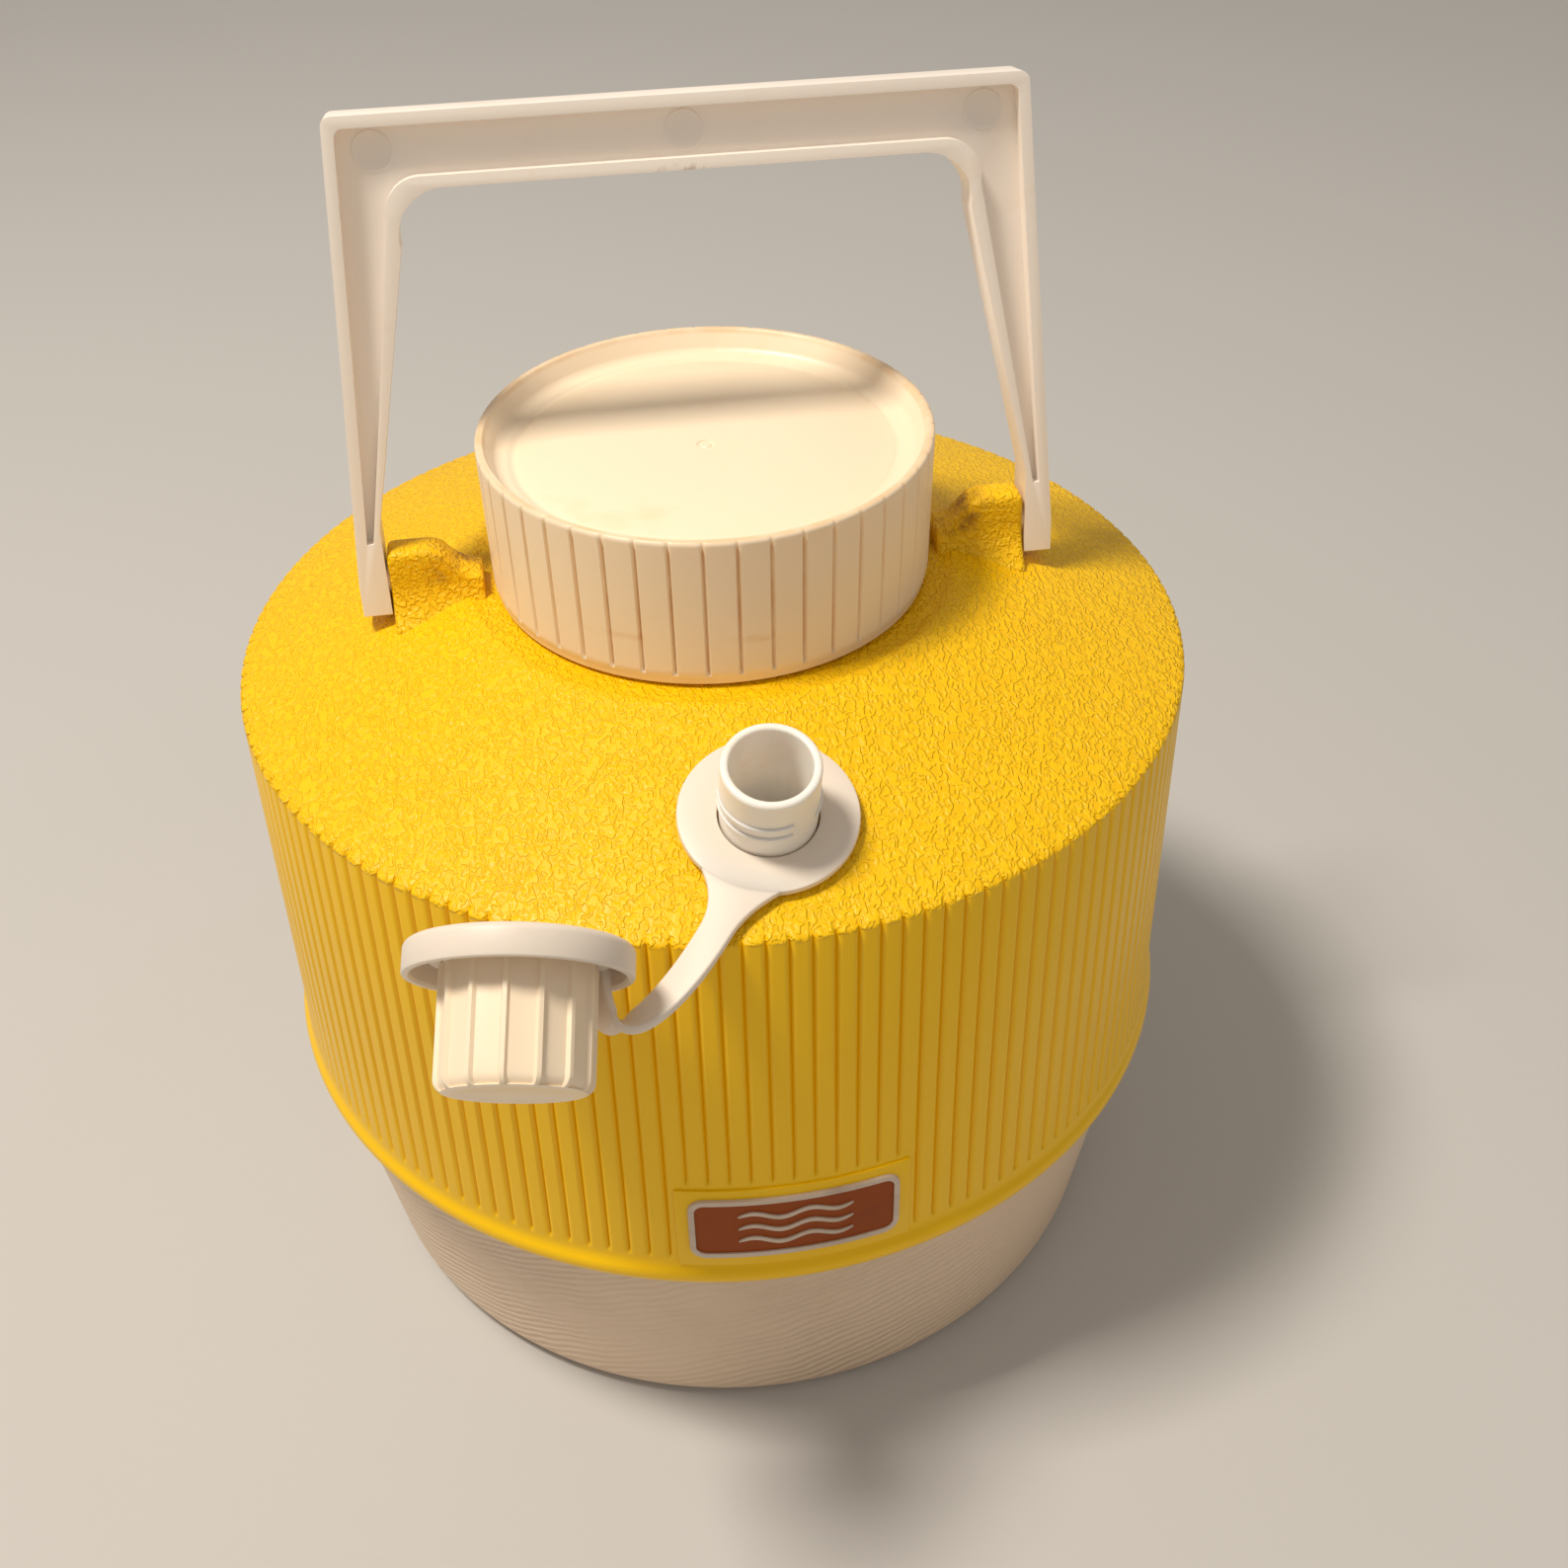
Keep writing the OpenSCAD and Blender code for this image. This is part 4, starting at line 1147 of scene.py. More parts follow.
@dataclass(frozen=True)
class Base:
    """Ivory base that the shell's skirt slides over."""

    size: Layout
    foot_r: float = 99.5 * MM
    foot_round: float = 6 * MM
    sleeve_h: float = 32 * MM
    recess: float = 1.2 * MM
    floor_t: float = 3 * MM
    steps: int = 288

    def outline(self) -> Outline:
        """Returns: the base's section from the middle of its floor round to its underside."""
        size, wall = self.size, self.size.shell_wall
        gap = 0.15 * MM
        top = size.lip_bottom + self.sleeve_h
        belt_r = size.skirt_r(size.lip_bottom) - wall - gap
        sleeve_r = size.skirt_r(top) - wall - gap
        inner_foot = self.foot_r - self.foot_round
        groove_out = inner_foot - 3.5 * MM
        return [
            (0, self.recess + self.floor_t), (inner_foot - 1 * MM, self.recess + self.floor_t),
            (self.foot_r - wall, self.foot_round + 1 * MM), (belt_r - wall, size.lip_bottom),
            (sleeve_r - wall, top), (sleeve_r, top), (belt_r, size.lip_bottom),
            *reversed(rounded_corner((inner_foot, self.foot_round), self.foot_round, -75, 0, 10)),
            (inner_foot + 0.5 * MM, 0), (groove_out, 0),
            (groove_out - 0.8 * MM, self.recess), (groove_out - 7.2 * MM, self.recess),
            (groove_out - 8 * MM, 0), (0, 0),
        ]

    def build(self, shop: Workshop) -> None:
        """Builds the base."""
        piece = turned("base_shell_visual", self.outline(), self.steps)
        shop.issue(smooth(piece), Slot.BASE, "jug", ["base_shell"])


@dataclass(frozen=True)
class Badge:
    """Round-cornered badge with a raised trim and three wave strokes."""

    size: Layout
    width: float = 46 * MM
    height: float = 18.5 * MM
    margin: float = 2.6 * MM
    corner: float = 3.5 * MM
    trim_w: float = 1.3 * MM
    field_t: float = 0.4 * MM
    trim_t: float = 0.8 * MM
    wave_count: int = 3
    wave_span: float = 25 * MM
    wave_pitch: float = 4.0 * MM
    wave_swing: float = 0.9 * MM
    stroke: float = 1.1 * MM

    @property
    def middle(self) -> float:
        """Returns: the height of the badge's middle."""
        return self.size.lip_top + self.margin + self.height / 2

    def plate(self, inset: float, proud: float, name: str) -> bpy.types.Object:
        """Returns: a rounded plate that follows the skirt, pulled in on all sides."""
        half = self.height / 2 - inset
        slab = rounded_slab(self.width - 2 * inset, self.middle - half, self.middle + half,
                            self.corner - inset, self.size.rim_r)
        sunk = self.size.panel_proud - 0.1 * MM
        return named(kept(slab, skirt_ring(self.size, "badge_ring", sunk, proud)), name)

    def wave(self, place: float) -> bpy.types.Object:
        """Returns: one wavy stroke at a height."""
        along = np.linspace(-0.5, 0.5, 33) * self.wave_span
        heights = place + self.wave_swing * np.sin(along / self.wave_span * 2 * FULL_TURN)
        taper = self.stroke / 2 * np.sqrt(np.clip(1 - (2 * along / self.wave_span) ** 6, 0.05, 1))
        upper = list(zip(along, heights + taper))
        lower = list(zip(along, heights - taper))
        slab = extruded("wave", upper + lower[::-1], 3 * self.size.rim_r)
        front = self.size.panel_proud + self.trim_t
        return kept(front_half(slab), skirt_ring(self.size, "wave_ring", self.size.panel_proud, front))

    def build(self, shop: Workshop) -> None:
        """Builds the field, the trim and the strokes."""
        field_top = self.size.panel_proud + self.field_t
        face = smooth(self.plate(self.trim_w / 2, field_top, "badge_field"))
        shop.issue(face, Slot.BADGE, "jug", ["badge"])
        trim = self.plate(0.0, self.size.panel_proud + self.trim_t, "badge_trim")
        half = self.height / 2 - self.trim_w
        window = rounded_slab(self.width - 2 * self.trim_w, self.middle - half, self.middle + half,
                              self.corner - self.trim_w, self.size.rim_r)
        strokes = [self.wave(self.middle + (row - (self.wave_count - 1) / 2) * self.wave_pitch)
                   for row in range(self.wave_count)]
        parts = [softened(cut(trim, window), 0.25 * MM)] + [softened(s, 0.12 * MM, 2) for s in strokes]
        shop.issue(joined(parts, "badge_trim"), Slot.BADGE, "jug", trim=True)


# ---- Lid --------------------------------------------------------------------


@dataclass(frozen=True)
class Lid:
    """Screw lid with grip grooves and a dished top."""

    size: Layout
    height: float = 34.2 * MM
    draft: float = 0.7 * MM
    dish_depth: float = 5 * MM
    dish_floor: float = 2 * MM
    thread_gap: float = 0.6 * MM
    lead: float = 6 * MM
    thread_turns: float = 1.25
    thread_half: float = 1.4 * MM
    thread_rise: float = 4.5 * MM
    thread_root: float = 0.4 * MM
    groove_count: int = 45
    steps_per_groove: int = 12
    groove_depth: float = 1.0 * MM
    notch_share: float = 0.35

    @property
    def bottom(self) -> float:
        """Returns: the height of the lid's lower edge."""
        return self.size.ledge_z + 0.7 * MM

    def outline(self) -> Outline:
        """Returns: the lid's section from the middle of its ceiling to the middle of its dish."""
        size, low = self.size, self.bottom
        top, edge = low + self.height, size.lid_r
        dish_z, dish_r = top - self.dish_depth, edge - 6.2 * MM
        bore = size.neck_r + size.thread_depth + self.thread_gap
        wall_foot = edge - self.draft
        climb = self.height - 3 * MM
        side = [(wall_foot + 0.4 * MM * rise, low + 2.4 * MM + climb * rise)
                for rise in (0.0, 0.04, 0.5, 0.93)]
        return [
            (0, dish_z - self.dish_floor), (bore, dish_z - self.dish_floor), (bore, low),
            (wall_foot - 0.9 * MM, low), (wall_foot - 0.5 * MM, low + 0.2 * MM),
            (wall_foot - 0.35 * MM, low + 0.7 * MM), (wall_foot - 0.3 * MM, low + 1.9 * MM),
            *side,
            (edge - 0.3 * MM, top - 1.1 * MM),
            *rounded_corner((edge - 1.1 * MM, top - 0.8 * MM), 0.8 * MM, 0, 90, 4),
            (edge - 1.9 * MM, top - 0.05 * MM), (edge - 2.3 * MM, top - 0.4 * MM),
            *rounded_corner((dish_r, dish_z + 3 * MM), 3 * MM, -35, -90, 6),
            (dish_r - 1 * MM, dish_z - 0.2 * MM), (dish_r - 1.4 * MM, dish_z - 0.4 * MM),
            (dish_r - 2.2 * MM, dish_z - 0.4 * MM), (dish_r - 2.6 * MM, dish_z - 0.2 * MM),
            (dish_r - 3 * MM, dish_z), (12 * MM, dish_z),
            (2.1 * MM, dish_z), (1.9 * MM, dish_z - 0.25 * MM), (1.2 * MM, dish_z - 0.3 * MM),
            (0.9 * MM, dish_z - 0.05 * MM), (0, dish_z - 0.02 * MM),
        ]

    def grooves(self, shallow: bool) -> Rule:
        """Returns: a rule for the corners at the grooves' bottoms, or at their rim notches."""
        low, top, edge = self.bottom + 2.6 * MM, self.bottom + self.height, self.size.lid_r
        split = top - 1.3 * MM

        def rule(points: np.ndarray) -> np.ndarray:
            """Returns: which corners are wanted."""
            step = np.rint(around(points) * self.groove_count * self.steps_per_groove).astype(int)
            on_line = step % self.steps_per_groove == 0
            outer = np.hypot(points[:, 0], points[:, 1]) > edge - 1.2 * MM
            z = points[:, 2]
            return on_line & outer & ((z > split) if shallow else ((z > low) & (z <= split)))

        return rule

    def thread(self) -> bpy.types.Object:
        """Returns: the ridge inside the lid that runs in the neck's thread."""
        bore = self.size.neck_r + self.size.thread_depth + self.thread_gap
        return ridge("lid_thread", bore + self.thread_root, bore - self.size.thread_depth, self.thread_half,
                     self.bottom + self.thread_rise, self.lead, self.thread_turns)

    def build(self, shop: Workshop) -> None:
        """Builds the lid."""
        piece = turned("lid_cover_visual", self.outline(), self.groove_count * self.steps_per_groove)
        with editing(piece):
            squeeze(piece, self.grooves(False), 1 - self.groove_depth / self.size.lid_r)
            squeeze(piece, self.grooves(True), 1 - self.notch_share * self.groove_depth / self.size.lid_r)
        piece = joined([smooth(piece), self.thread()], "lid_cover_visual")
        shop.issue(piece, Slot.LID, "lid", ["lid_cover"])


# ---- Handle -----------------------------------------------------------------


@dataclass(frozen=True)
class Handle:
    """Swinging handle of an I section, with studs that turn in the lugs."""

    size: Layout
    reach: float = 96.2 * MM
    lean: float = math.radians(10.9)
    depth: float = 9 * MM
    grip_h: float = 14.5 * MM
    grip_half_w: float = 70.9 * MM
    foot_w: float = 6.2 * MM
    top_leg_w: float = 13 * MM
    leg_gap: float = 0.4 * MM
    foot_drop: float = 8.6 * MM
    solid_foot: float = 12 * MM
    recess_foot: float = 9 * MM
    flange: float = 2.4 * MM
    recess: float = 3.2 * MM
    corner: float = 10 * MM
    stud_len: float = 7 * MM
    mark_r: float = 4 * MM
    mark_inset: float = 9 * MM
    crown: float = 2 * MM
    edge_round: float = 0.8 * MM

    @property
    def leg_face(self) -> float:
        """Returns: the distance from the middle to a leg's inner face at its foot."""
        return self.size.lug_face_x + self.leg_gap

    def outer(self, height: float) -> float:
        """Returns: half the handle's width at a height above the pivot."""
        foot = self.leg_face + self.foot_w
        return foot - (foot - self.grip_half_w) * height / self.reach

    def leg_w(self, height: float) -> float:
        """Returns: the leg's width at a height above the pivot."""
        share = max(0.0, height - self.solid_foot) / (self.reach - self.grip_h - self.solid_foot)
        return self.foot_w + (self.top_leg_w - self.foot_w) * share

    def outline(self, inset: float) -> Outline:
        """Returns: the front view of the handle or, with an inset, of its recess."""
        top, under = self.reach - inset, self.reach - self.grip_h + inset
        corner = self.corner - inset
        inner_top = self.outer(under) - self.leg_w(under) + inset
        foot_z = self.recess_foot if inset else 0.0
        inner_foot = self.outer(foot_z) - self.leg_w(foot_z) + inset if inset else self.leg_face
        level = [] if inset else [(self.leg_face, self.solid_foot)]
        sole = [] if inset else [(self.outer(0.0), -self.foot_drop)]
        lean_in = math.degrees(math.atan((inner_foot - inner_top) / (under - foot_z)))
        crown_x = self.outer(top) - inset - self.crown
        right = [
            *reversed(rounded_corner((crown_x, top - self.crown), self.crown, 0, 90, 5)),
            (self.outer(foot_z) - inset, foot_z), *sole, (inner_foot, foot_z if inset else -self.foot_drop),
            *level,
            *rounded_corner((inner_top - corner, under - corner), corner, -lean_in, 90, 12),
        ]
        return right + [(-x, z) for x, z in reversed(right)]

    def end_view(self) -> bpy.types.Object:
        """Returns: a block that leaves both legs with round ends, seen from the side."""
        wide, tall = self.depth / 2 + 1 * MM, self.reach + 5 * MM
        limit = math.degrees(math.asin(wide / self.foot_drop))
        below = rounded_corner((0, 0), self.foot_drop, -90 - limit, -90 + limit, 14)
        block = extruded("end_view", [*below, (wide, tall), (-wide, tall)], 4 * self.grip_half_w)
        return stand(block, Matrix.Rotation(math.pi / 2, 4, "Z"))

    def stud(self, side: int) -> bpy.types.Object:
        """Returns: one stud with a chamfered end."""
        radius, end = self.size.stud_r, -self.stud_len - self.leg_gap
        bevel, root = 0.6 * MM, 1 * MM
        section = [(0, end), (radius - bevel, end), (radius, end + bevel), (radius, root), (0, root)]
        piece = turned("stud", section, 48)
        place = Matrix.Translation((side * self.leg_face, 0, 0))
        return stand(piece, place @ Matrix.Rotation(side * math.pi / 2, 4, "Y"))

    def marks(self) -> list[bpy.types.Object]:
        """Returns: the faint round ejector marks in the recess of the grip."""
        height = self.reach - self.grip_h / 2
        web = self.depth / 2 - self.recess
        edge = self.mark_r
        section = [(0, -0.3 * MM), (edge, -0.3 * MM), (edge, 0.12 * MM), (edge - 0.12 * MM, 0.2 * MM),
                   (edge - 0.5 * MM, 0.1 * MM), (0, 0.1 * MM)]
        found = []
        for face in (-1, 1):
            for x in (-self.grip_half_w + self.mark_inset, 0.0, self.grip_half_w - self.mark_inset):
                turn = Matrix.Rotation(-face * math.pi / 2, 4, "X")
                place = Matrix.Translation((x, face * web, height)) @ turn
                found.append(smooth(stand(turned("mark", section, 40), place)))
        return found

    def build(self, shop: Workshop) -> None:
        """Builds the handle and leans it back."""
        piece = extruded("handle_visual", self.outline(0.0), self.depth)
        for face in (-1, 1):
            pocket = extruded("pocket", self.outline(self.flange), self.recess)
            side = Matrix.Translation((0, face * self.depth / 2, 0))
            deep = Matrix.Scale(2, 4, (0, 1, 0))
            cut(piece, stand(pocket, side @ deep))
        kept(piece, self.end_view())
        softened(piece, self.edge_round, 4, 28)
        studs = [smooth(self.stud(side)) for side in (-1, 1)]
        piece = joined([piece, *studs, *self.marks()], "handle_visual")
        lift = Matrix.Translation((0, 0, self.size.pivot_z)) @ Matrix.Rotation(-self.lean, 4, "X")
        shop.issue(stand(piece, lift), Slot.HANDLE, "bail", ["handle"])


# ---- Spout, cap and tether --------------------------------------------------


@dataclass(frozen=True)
class Spout:
    """Pour spout with a rounded rim and a screw thread."""

    size: Layout
    height: float = 19.8 * MM
    bore_r: float = 8 * MM
    rim_round: float = 0.8 * MM
    foot: float = -15.9 * MM
    flange_w: float = 3.9 * MM
    flange_t: float = 1.8 * MM
    lead: float = 3.2 * MM
    thread_z: float = 7.5 * MM
    thread_h: float = 0.7 * MM
    thread_depth: float = 0.45 * MM
    thread_span: float = 0.32
    thread_starts: tuple[tuple[float, float], ...] = ((0.48, 0.0), (0.48, 3.2 * MM), (0.9, 1.4 * MM))

    def thread(self, out: float, turn: float, rise: float) -> bpy.types.Object:
        """Winds one short ridge of the thread.

        Args:
            out: the spout's radius.
            turn: where it starts, in turns from +X.
            rise: how far above the first ridge it starts.

        Returns:
            The ridge.
        """
        piece = ridge("spout_thread", out - 0.3 * MM, out + self.thread_depth, self.thread_h,
                      self.thread_z + rise, self.lead, self.thread_span)
        return stand(piece, Matrix.Rotation(turn * FULL_TURN, 4, "Z"))

    def build(self, shop: Workshop) -> None:
        """Builds the spout at its foot's frame."""
        out, top, soft = self.size.spout_out_r, self.height - 0.5 * MM, self.rim_round
        rim = rounded_corner((out - soft, top - soft), soft, 0, 90, 6)
        inner_rim = rounded_corner((self.bore_r + 0.6 * MM, top - 0.6 * MM), 0.6 * MM, 90, 180, 5)
        flange, flange_z = out + self.flange_w, self.foot + self.flange_t
        section = [
            (self.bore_r, self.foot), (flange, self.foot), (flange, flange_z),
            (out, flange_z), (out, 0), *rim, *inner_rim, (self.bore_r, self.foot),
        ]
        tube = smooth(turned("spout_visual", section, 96))
        threads = [self.thread(out, turn, rise) for turn, rise in self.thread_starts]
        piece = stand(joined([tube, *threads], "spout_visual"), self.size.at_spout)
        shop.issue(piece, Slot.SPOUT, "jug", ["spout"])


@dataclass(frozen=True)
class Cap:
    """Fluted spout cap, its collar, and the frame that both stand in."""

    size: Layout
    side: float = 49.2 * MM
    out: float = 12.7 * MM
    up: float = 9.3 * MM
    dip: float = math.radians(33.7)
    heading: float = math.radians(-9.5)
    bore_gap: float = 1 * MM
    wall: float = 3.5 * MM
    neck_h: float = 3.5 * MM
    height: float = 26.7 * MM
    flute_count: int = 14
    steps_per_flute: int = 16
    flute_depth: float = 1.05 * MM
    collar_rim: float = 6.5 * MM
    collar_h: float = 6.1 * MM
    web: float = 1.6 * MM

    @property
    def frame(self) -> Matrix:
        """Returns: the frame of the cap's open face, with +Z towards its closed end."""
        reach = self.size.rim_r + self.out
        across = -self.side
        place = Matrix.Translation((across, -math.sqrt(reach ** 2 - across ** 2), self.size.rim_z + self.up))
        turn = Matrix.Rotation(self.heading, 4, "Z") @ Matrix.Rotation(math.pi / 2 + self.dip, 4, "X")
        return place @ turn

    @property
    def radius(self) -> float:
        """Returns: the cap's radius over its ridges."""
        return self.size.spout_out_r + self.bore_gap + self.wall

    @property
    def neck_r(self) -> float:
        """Returns: the radius of the neck that the tether's ring holds."""
        return self.radius - 2 * MM

    def cap_outline(self) -> Outline:
        """Returns: the cap's section from the middle of its ceiling to the middle of its end."""
        bore, top, edge = self.radius - self.wall, self.height, self.radius
        soft = 2.4 * MM
        return [
            (0, top - 2.2 * MM), (bore - 0.6 * MM, top - 2.2 * MM), (bore, top - 2.8 * MM),
            (bore, 0.4 * MM), (bore + 0.3 * MM, 0), (self.neck_r - 0.4 * MM, 0),
            (self.neck_r, 0.4 * MM), (self.neck_r, self.neck_h - 0.2 * MM),
            (edge - 0.6 * MM, self.neck_h), (edge - 0.1 * MM, self.neck_h + 0.5 * MM),
            (edge, self.neck_h + 1.2 * MM), (edge, top - soft - 1.5 * MM),
            *rounded_corner((edge - soft, top - soft), soft, 0, 90, 7),
            (edge - 4 * MM, top), (edge - 4.6 * MM, top - 0.25 * MM), (0, top - 0.25 * MM),
        ]

    def fluted(self, piece: bpy.types.Object) -> None:
        """Presses flat facets between the ridges of an open cap."""
        half = self.steps_per_flute // 2
        total = self.flute_count * self.steps_per_flute
        edge = self.radius
        for offset in range(2, half + 1):
            share = self.facet_share(offset, half)

            def rule(points: np.ndarray, offset: int = offset) -> np.ndarray:
                """Returns: the corners at one distance from a ridge."""
                step = np.rint(around(points) * total).astype(int) % self.steps_per_flute
                away = np.minimum(step, self.steps_per_flute - step)
                outside = np.hypot(points[:, 0], points[:, 1]) > edge - 1.2 * MM
                return (away == offset) & outside & (points[:, 2] > self.neck_h + 0.1 * MM)

            squeeze(piece, rule, 1 - share * self.flute_depth / edge)

    @staticmethod
    def facet_share(offset: int, half: int) -> float:
        """Returns: how much of the flute's full depth a facet has at a distance from its ridge."""
        return min(1.0, 0.7 + 0.3 * math.sin(math.pi / 2 * (offset - 1) / (half - 1)))

    def collar_outline(self) -> Outline:
        """Returns: the collar's section, once round."""
        out, round_r = self.radius + self.collar_rim, 1.6 * MM
        return [
            (self.neck_r, 0), (out - round_r, 0),
            *rounded_corner((out - round_r, round_r), round_r, -90, 0, 8),
            (out, self.collar_h - 0.4 * MM), (out - 0.15 * MM, self.collar_h - 0.12 * MM),
            (out - 0.4 * MM, self.collar_h), (out - 1.2 * MM, self.collar_h),
            (out - 1.6 * MM, self.collar_h - 0.6 * MM), (out - 1.6 * MM, self.web + 0.8 * MM),
            (out - 1.9 * MM, self.web + 0.25 * MM), (out - 2.4 * MM, self.web),
            (self.neck_r, self.web), (self.neck_r, 0),
        ]

    def build(self, shop: Workshop) -> None:
        """Builds the cap and its collar."""
        piece = turned("spout_cap_visual", self.cap_outline(), self.flute_count * self.steps_per_flute)
        with editing(piece):
            self.fluted(piece)
        piece = stand(smooth(piece, 24), self.frame)
        shop.issue(piece, Slot.LID, "cap", ["spout_cap"])
        collar = stand(smooth(turned("cap_collar_visual", self.collar_outline(), 128)), self.frame)
        shop.issue(collar, Slot.TETHER, "cap", ["cap_collar"])


@dataclass(frozen=True)
class Tether:
    """Soft strap that ties the cap to the spout."""

    size: Layout
    cap: Cap
    disc_rim: float = 8.2 * MM
    disc_lift: float = 0.9 * MM
    strap_t: float = 1.8 * MM
    strap_w: float = 6.4 * MM
    leaves_at: float = math.radians(28)
    root_turn: float = math.radians(37.4)
    reach_disc: float = 20.2 * MM
    reach_ring: float = 23.7 * MM
    ring_lip: float = 4.2 * MM
    flare: float = 8 * MM
    steps: int = 44
    buried: float = 0.07
    fillet: float = 0.17
    split: float = 0.42
    bend_before: float = 7 * MM
    bend_after: float = 3 * MM

    @property
    def disc_r(self) -> float:
        """Returns: the radius of the disc round the spout."""
        return self.size.spout_out_r + self.disc_rim

    @property
    def ring_r(self) -> float:
        """Returns: the radius of the ring round the cap's neck."""
        return self.cap.neck_r + self.ring_lip

    def path(self) -> tuple[list[Vector], Vector, Vector]:
        """Returns: the strap's four curve handles, and its width's direction at both ends."""
        spout, cap = self.size.at_spout, self.cap.frame
        way = Vector((-math.sin(self.leaves_at), -math.cos(self.leaves_at), 0))
        start = spout @ (way * (self.disc_r - 1 * MM) + Vector((0, 0, self.disc_lift + self.strap_t / 2)))
        way = spout.to_3x3() @ way
        root = self.ring_r - 0.2 * MM
        turn = self.root_turn
        end = cap @ Vector((root * math.cos(turn), -root * math.sin(turn), self.cap.web + 1.2 * MM))
        inward = cap.to_3x3() @ Vector((0, 0, 1))
        first = (spout.to_3x3() @ Vector((0, 0, 1))).cross(way).normalized()
        last = cap.to_3x3() @ Vector((math.sin(turn), math.cos(turn), 0))
        return [start, start + way * self.reach_disc, end + inward * self.reach_ring, end], first, last

    def section(self, share: float) -> list[Vector]:
        """Returns: the four corners of the strap at a share of its length."""
        p, first, last = self.path()
        rest = 1 - share
        if share < 0:
            centre, along = p[0] + (p[1] - p[0]) * 3 * share, (p[1] - p[0]).normalized()
        else:
            centre = (p[0] * rest ** 3 + p[1] * 3 * rest ** 2 * share + p[2] * 3 * rest * share ** 2
                      + p[3] * share ** 3)
            along = ((p[1] - p[0]) * rest ** 2 + (p[2] - p[1]) * 2 * rest * share
                     + (p[3] - p[2]) * share ** 2).normalized()
        mixed = first * rest + last * share if share > 0 else first
        side = (mixed - along * mixed.dot(along)).normalized()
        up = along.cross(side)
        whole = self.fillet + self.buried
        half = self.strap_w / 2 + self.flare * max(0.0, (self.fillet - share) / whole) ** 2
        thick = self.strap_t / 2 - 0.02 * MM - 0.4 * MM * max(0.0, -share / self.buried)
        return [centre + side * half * a + up * thick * b for a, b in ((1, 1), (-1, 1), (-1, -1), (1, -1))]

    def strap(self) -> bpy.types.Object:
        """Returns: the strap between the disc and the ring."""
        rings = [self.section(share) for share in np.linspace(-self.buried, 1, self.steps + 1)]
        rails = [drawn(f"rail_{corner}", [tuple(ring[corner]) for ring in rings]) for corner in range(4)]
        return softened(skinned(rails, "strap"), 0.45 * MM, 3, 50)

    def washer(self, inner: float, outer: float, low: float, high: float, name: str) -> bpy.types.Object:
        """Returns: a flat ring with rounded edges."""
        soft = min(0.5 * MM, (high - low) / 3)
        section = [
            (inner, low), (outer - soft, low), (outer - soft * 0.3, low + soft * 0.3), (outer, low + soft),
            (outer, high - soft), (outer - soft * 0.3, high - soft * 0.3), (outer - soft, high),
            (inner + soft, high), (inner + soft * 0.3, high - soft * 0.3), (inner, high - soft), (inner, low),
        ]
        return smooth(turned(name, section, 96))

    def build(self, shop: Workshop) -> None:
        """Builds the disc with its strap, and the ring round the cap."""
        disc = self.washer(self.size.spout_out_r + 0.3 * MM, self.disc_r, self.disc_lift,
                           self.disc_lift + self.strap_t, "disc")
        parts = [stand(disc, self.size.at_spout), self.strap()]
        piece = joined(parts, "tether_visual")
        middle = sum(self.section(self.split), Vector()) / 4
        along = (self.section(self.split + 0.01)[0] - self.section(self.split - 0.01)[0]).normalized()
        shop.dress(piece, Slot.TETHER)
        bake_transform(piece)
        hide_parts("tether_anchor")
        ring = self.washer(self.cap.neck_r + 0.06 * MM, self.ring_r, self.cap.web + 0.1 * MM,
                           self.cap.neck_h - 0.1 * MM, "tether_ring_visual")
        shop.issue(stand(ring, self.cap.frame), Slot.TETHER, "tether_end", ["tether_ring"])


# ---- Studio -----------------------------------------------------------------


@dataclass(frozen=True)
class Lamp:
    """A square soft light aimed at the jug."""

    name: str
    place: tuple[float, float, float]
    power: float
    width: float
    tint: Colour = (1.0, 1.0, 1.0)
    aim: tuple[float, float, float] = (0, 0, 0.12)

    def build(self) -> None:
        """Hangs the light."""
        clear_selection()
        bpy.ops.object.light_add(type="AREA", location=self.place)
        lamp = bpy.context.object
        lamp.name = self.name
        lamp.data.energy = self.power
        lamp.data.size = self.width
        lamp.data.color = self.tint
        way = Vector(self.aim) - Vector(self.place)
        lamp.rotation_euler = way.to_track_quat("-Z", "Y").to_euler()


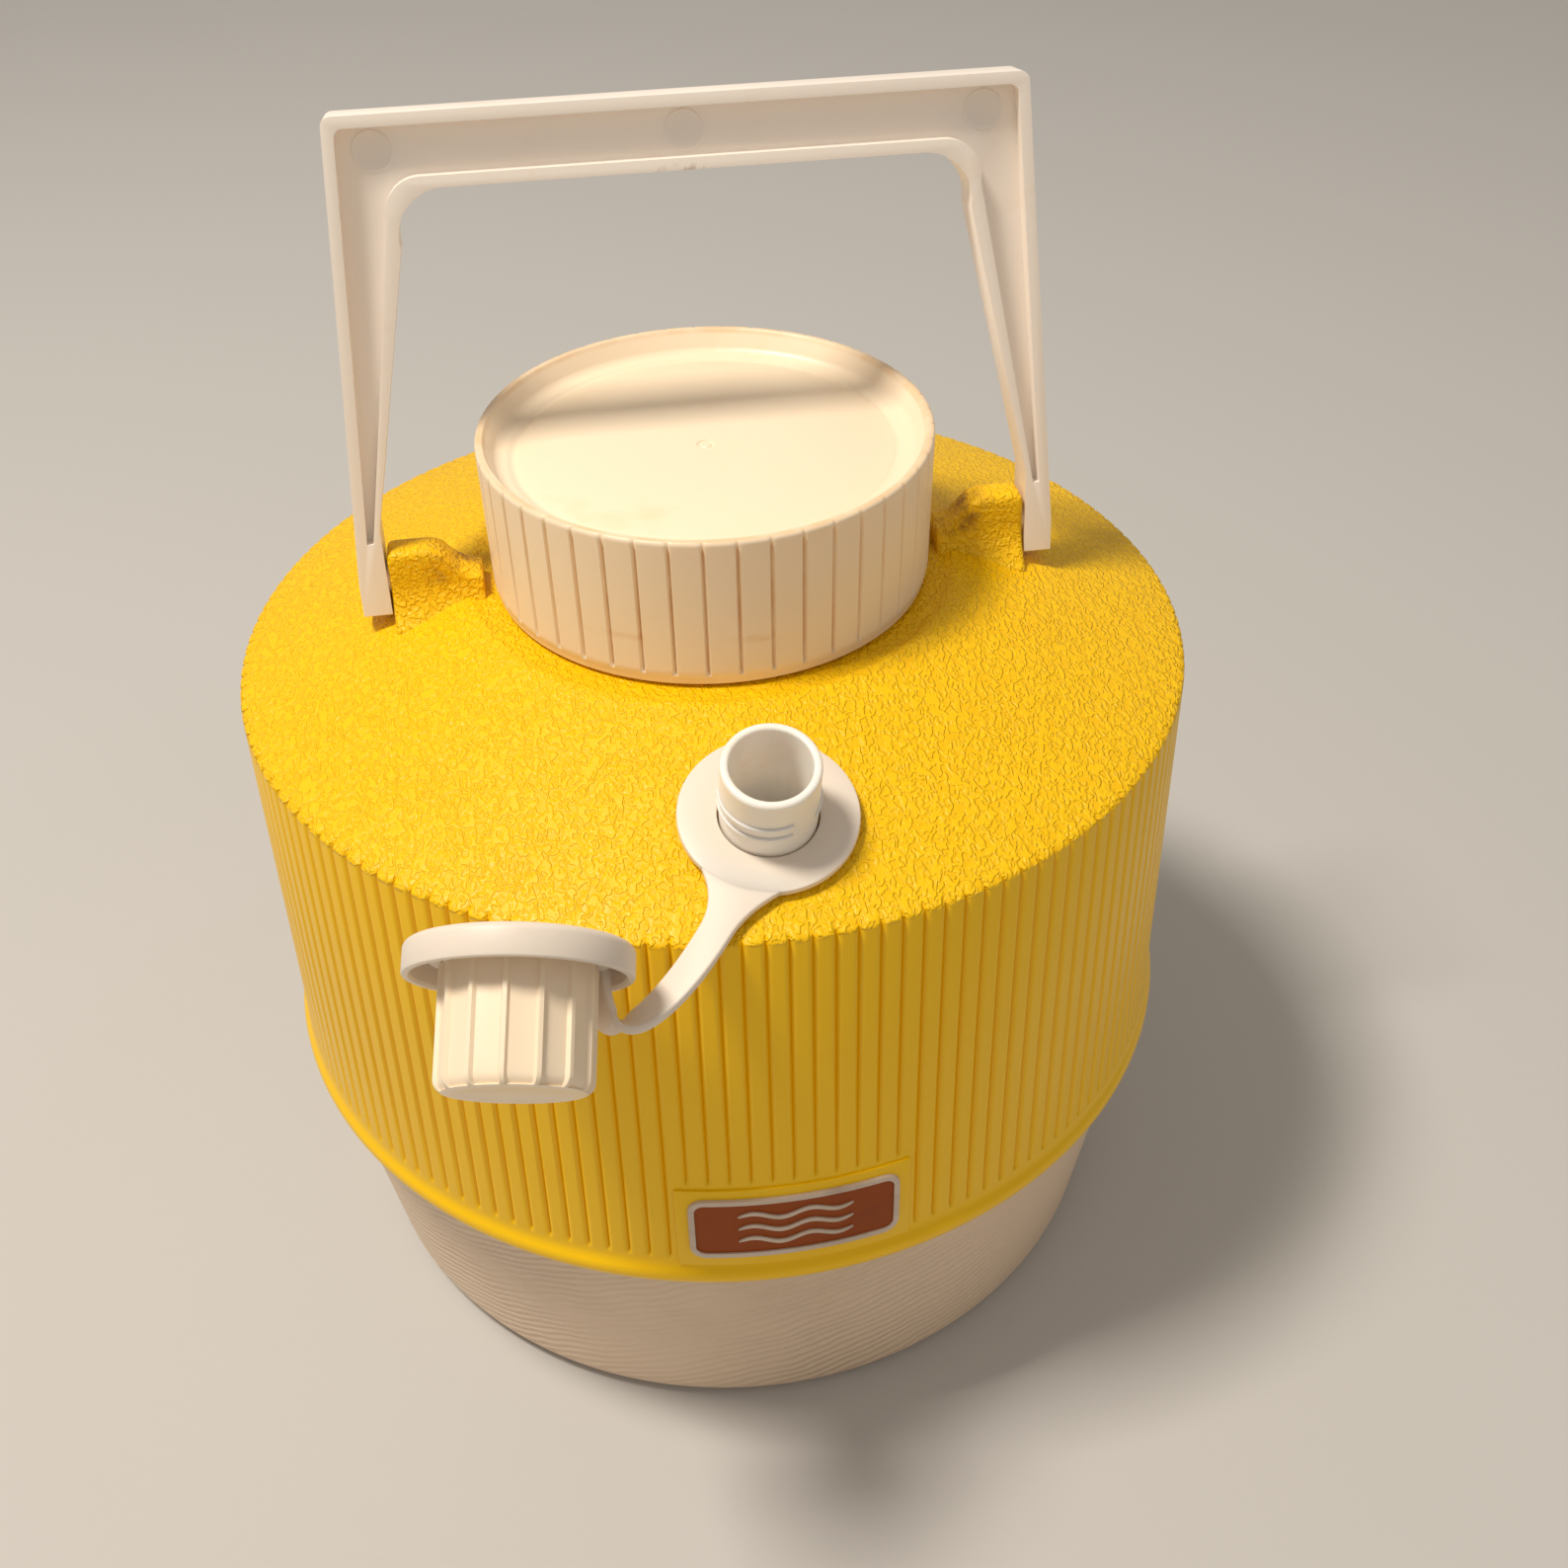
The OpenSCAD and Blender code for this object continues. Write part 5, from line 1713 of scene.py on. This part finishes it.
@dataclass(frozen=True)
class Studio:
    """Pale floor, soft lights and the camera."""

    lamps: tuple[Lamp, ...] = (
        Lamp("key", (-0.62, -0.08, 1.66), power=24.5, width=0.32, tint=(1.0, 0.93, 0.83)),
        Lamp("fill", (0.4, -1.3, 1.3), power=1.8, width=1.6, tint=(1.0, 0.93, 0.85)),
    )
    floor_width: float = 12.0
    floor_colour: Colour = (0.56, 0.545, 0.525)
    floor_roughness: float = 0.85
    sky: Colour = (1.0, 0.93, 0.85)
    sky_strength: float = 0.37
    eye: tuple[float, float, float] = (-36.4 * MM, -342.5 * MM, 394.1 * MM)
    way: tuple[float, float, float] = (0.1170, 0.7677, -0.6301)
    roll: float = math.radians(-0.99)
    lens: float = 40.55
    nearest: float = 0.01

    def camera(self) -> None:
        """Sets the camera up."""
        forward = Vector(self.way).normalized()
        right = forward.cross(Vector((0, 0, 1))).normalized()
        up = right.cross(forward)
        across = right * math.cos(self.roll) + up * math.sin(self.roll)
        above = -right * math.sin(self.roll) + up * math.cos(self.roll)
        clear_selection()
        bpy.ops.object.camera_add(location=self.eye)
        camera = bpy.context.object
        axes = Matrix((across, above, -forward)).transposed()
        camera.matrix_world = Matrix.Translation(self.eye) @ axes.to_4x4()
        camera.data.lens = self.lens
        camera.data.clip_start = self.nearest
        bpy.context.scene.camera = camera

    def floor(self) -> None:
        """Lays a pale floor."""
        clear_selection()
        bpy.ops.mesh.primitive_plane_add(size=self.floor_width)
        plane = named(bpy.context.object, "floor")
        material = bpy.data.materials.new("floor_pale")
        material.use_nodes = True
        shader = next(n for n in material.node_tree.nodes if n.type == "BSDF_PRINCIPLED")
        shader.inputs["Base Color"].default_value = (*self.floor_colour, 1)
        shader.inputs["Roughness"].default_value = self.floor_roughness
        plane.data.materials.append(material)

    def build(self) -> None:
        """Builds the floor, the lights, the sky and the camera."""
        self.floor()
        for lamp in self.lamps:
            lamp.build()
        world = bpy.data.worlds.new("studio")
        world.use_nodes = True
        sky = next(n for n in world.node_tree.nodes if n.type == "BACKGROUND")
        sky.inputs["Color"].default_value = (*self.sky, 1)
        sky.inputs["Strength"].default_value = self.sky_strength
        bpy.context.scene.world = world
        bpy.context.scene.view_settings.view_transform = "Standard"
        self.camera()


CAD_NODES: dict[Slot, tuple[str, ...]] = {
    Slot.LINER: ("liner",),
    Slot.FOAM: ("insulation_base", "insulation_wall", "insulation_shoulder", "lid_foam"),
    Slot.SEAL: ("neck_seal", "lid_gasket", "spout_gasket", "cap_liner"),
    Slot.LID: ("lid_plug",),
    Slot.SPOUT: ("spout_nut",),
}


def main() -> None:
    """Builds every sub-assembly in order, then the studio."""
    logging.basicConfig(level=logging.INFO, format="%(name)s %(message)s")
    size = Layout()
    shop = Workshop()
    cap = Cap(size)
    for part in (Shell(size), Base(size), Badge(size), Lid(size), Handle(size), Spout(size), cap,
                 Tether(size, cap)):
        part.build(shop)
    for slot, nodes in CAD_NODES.items():
        for node in nodes:
            shop.redress(node, slot)
    Studio().build()


if __name__ == "__main__":
    main()
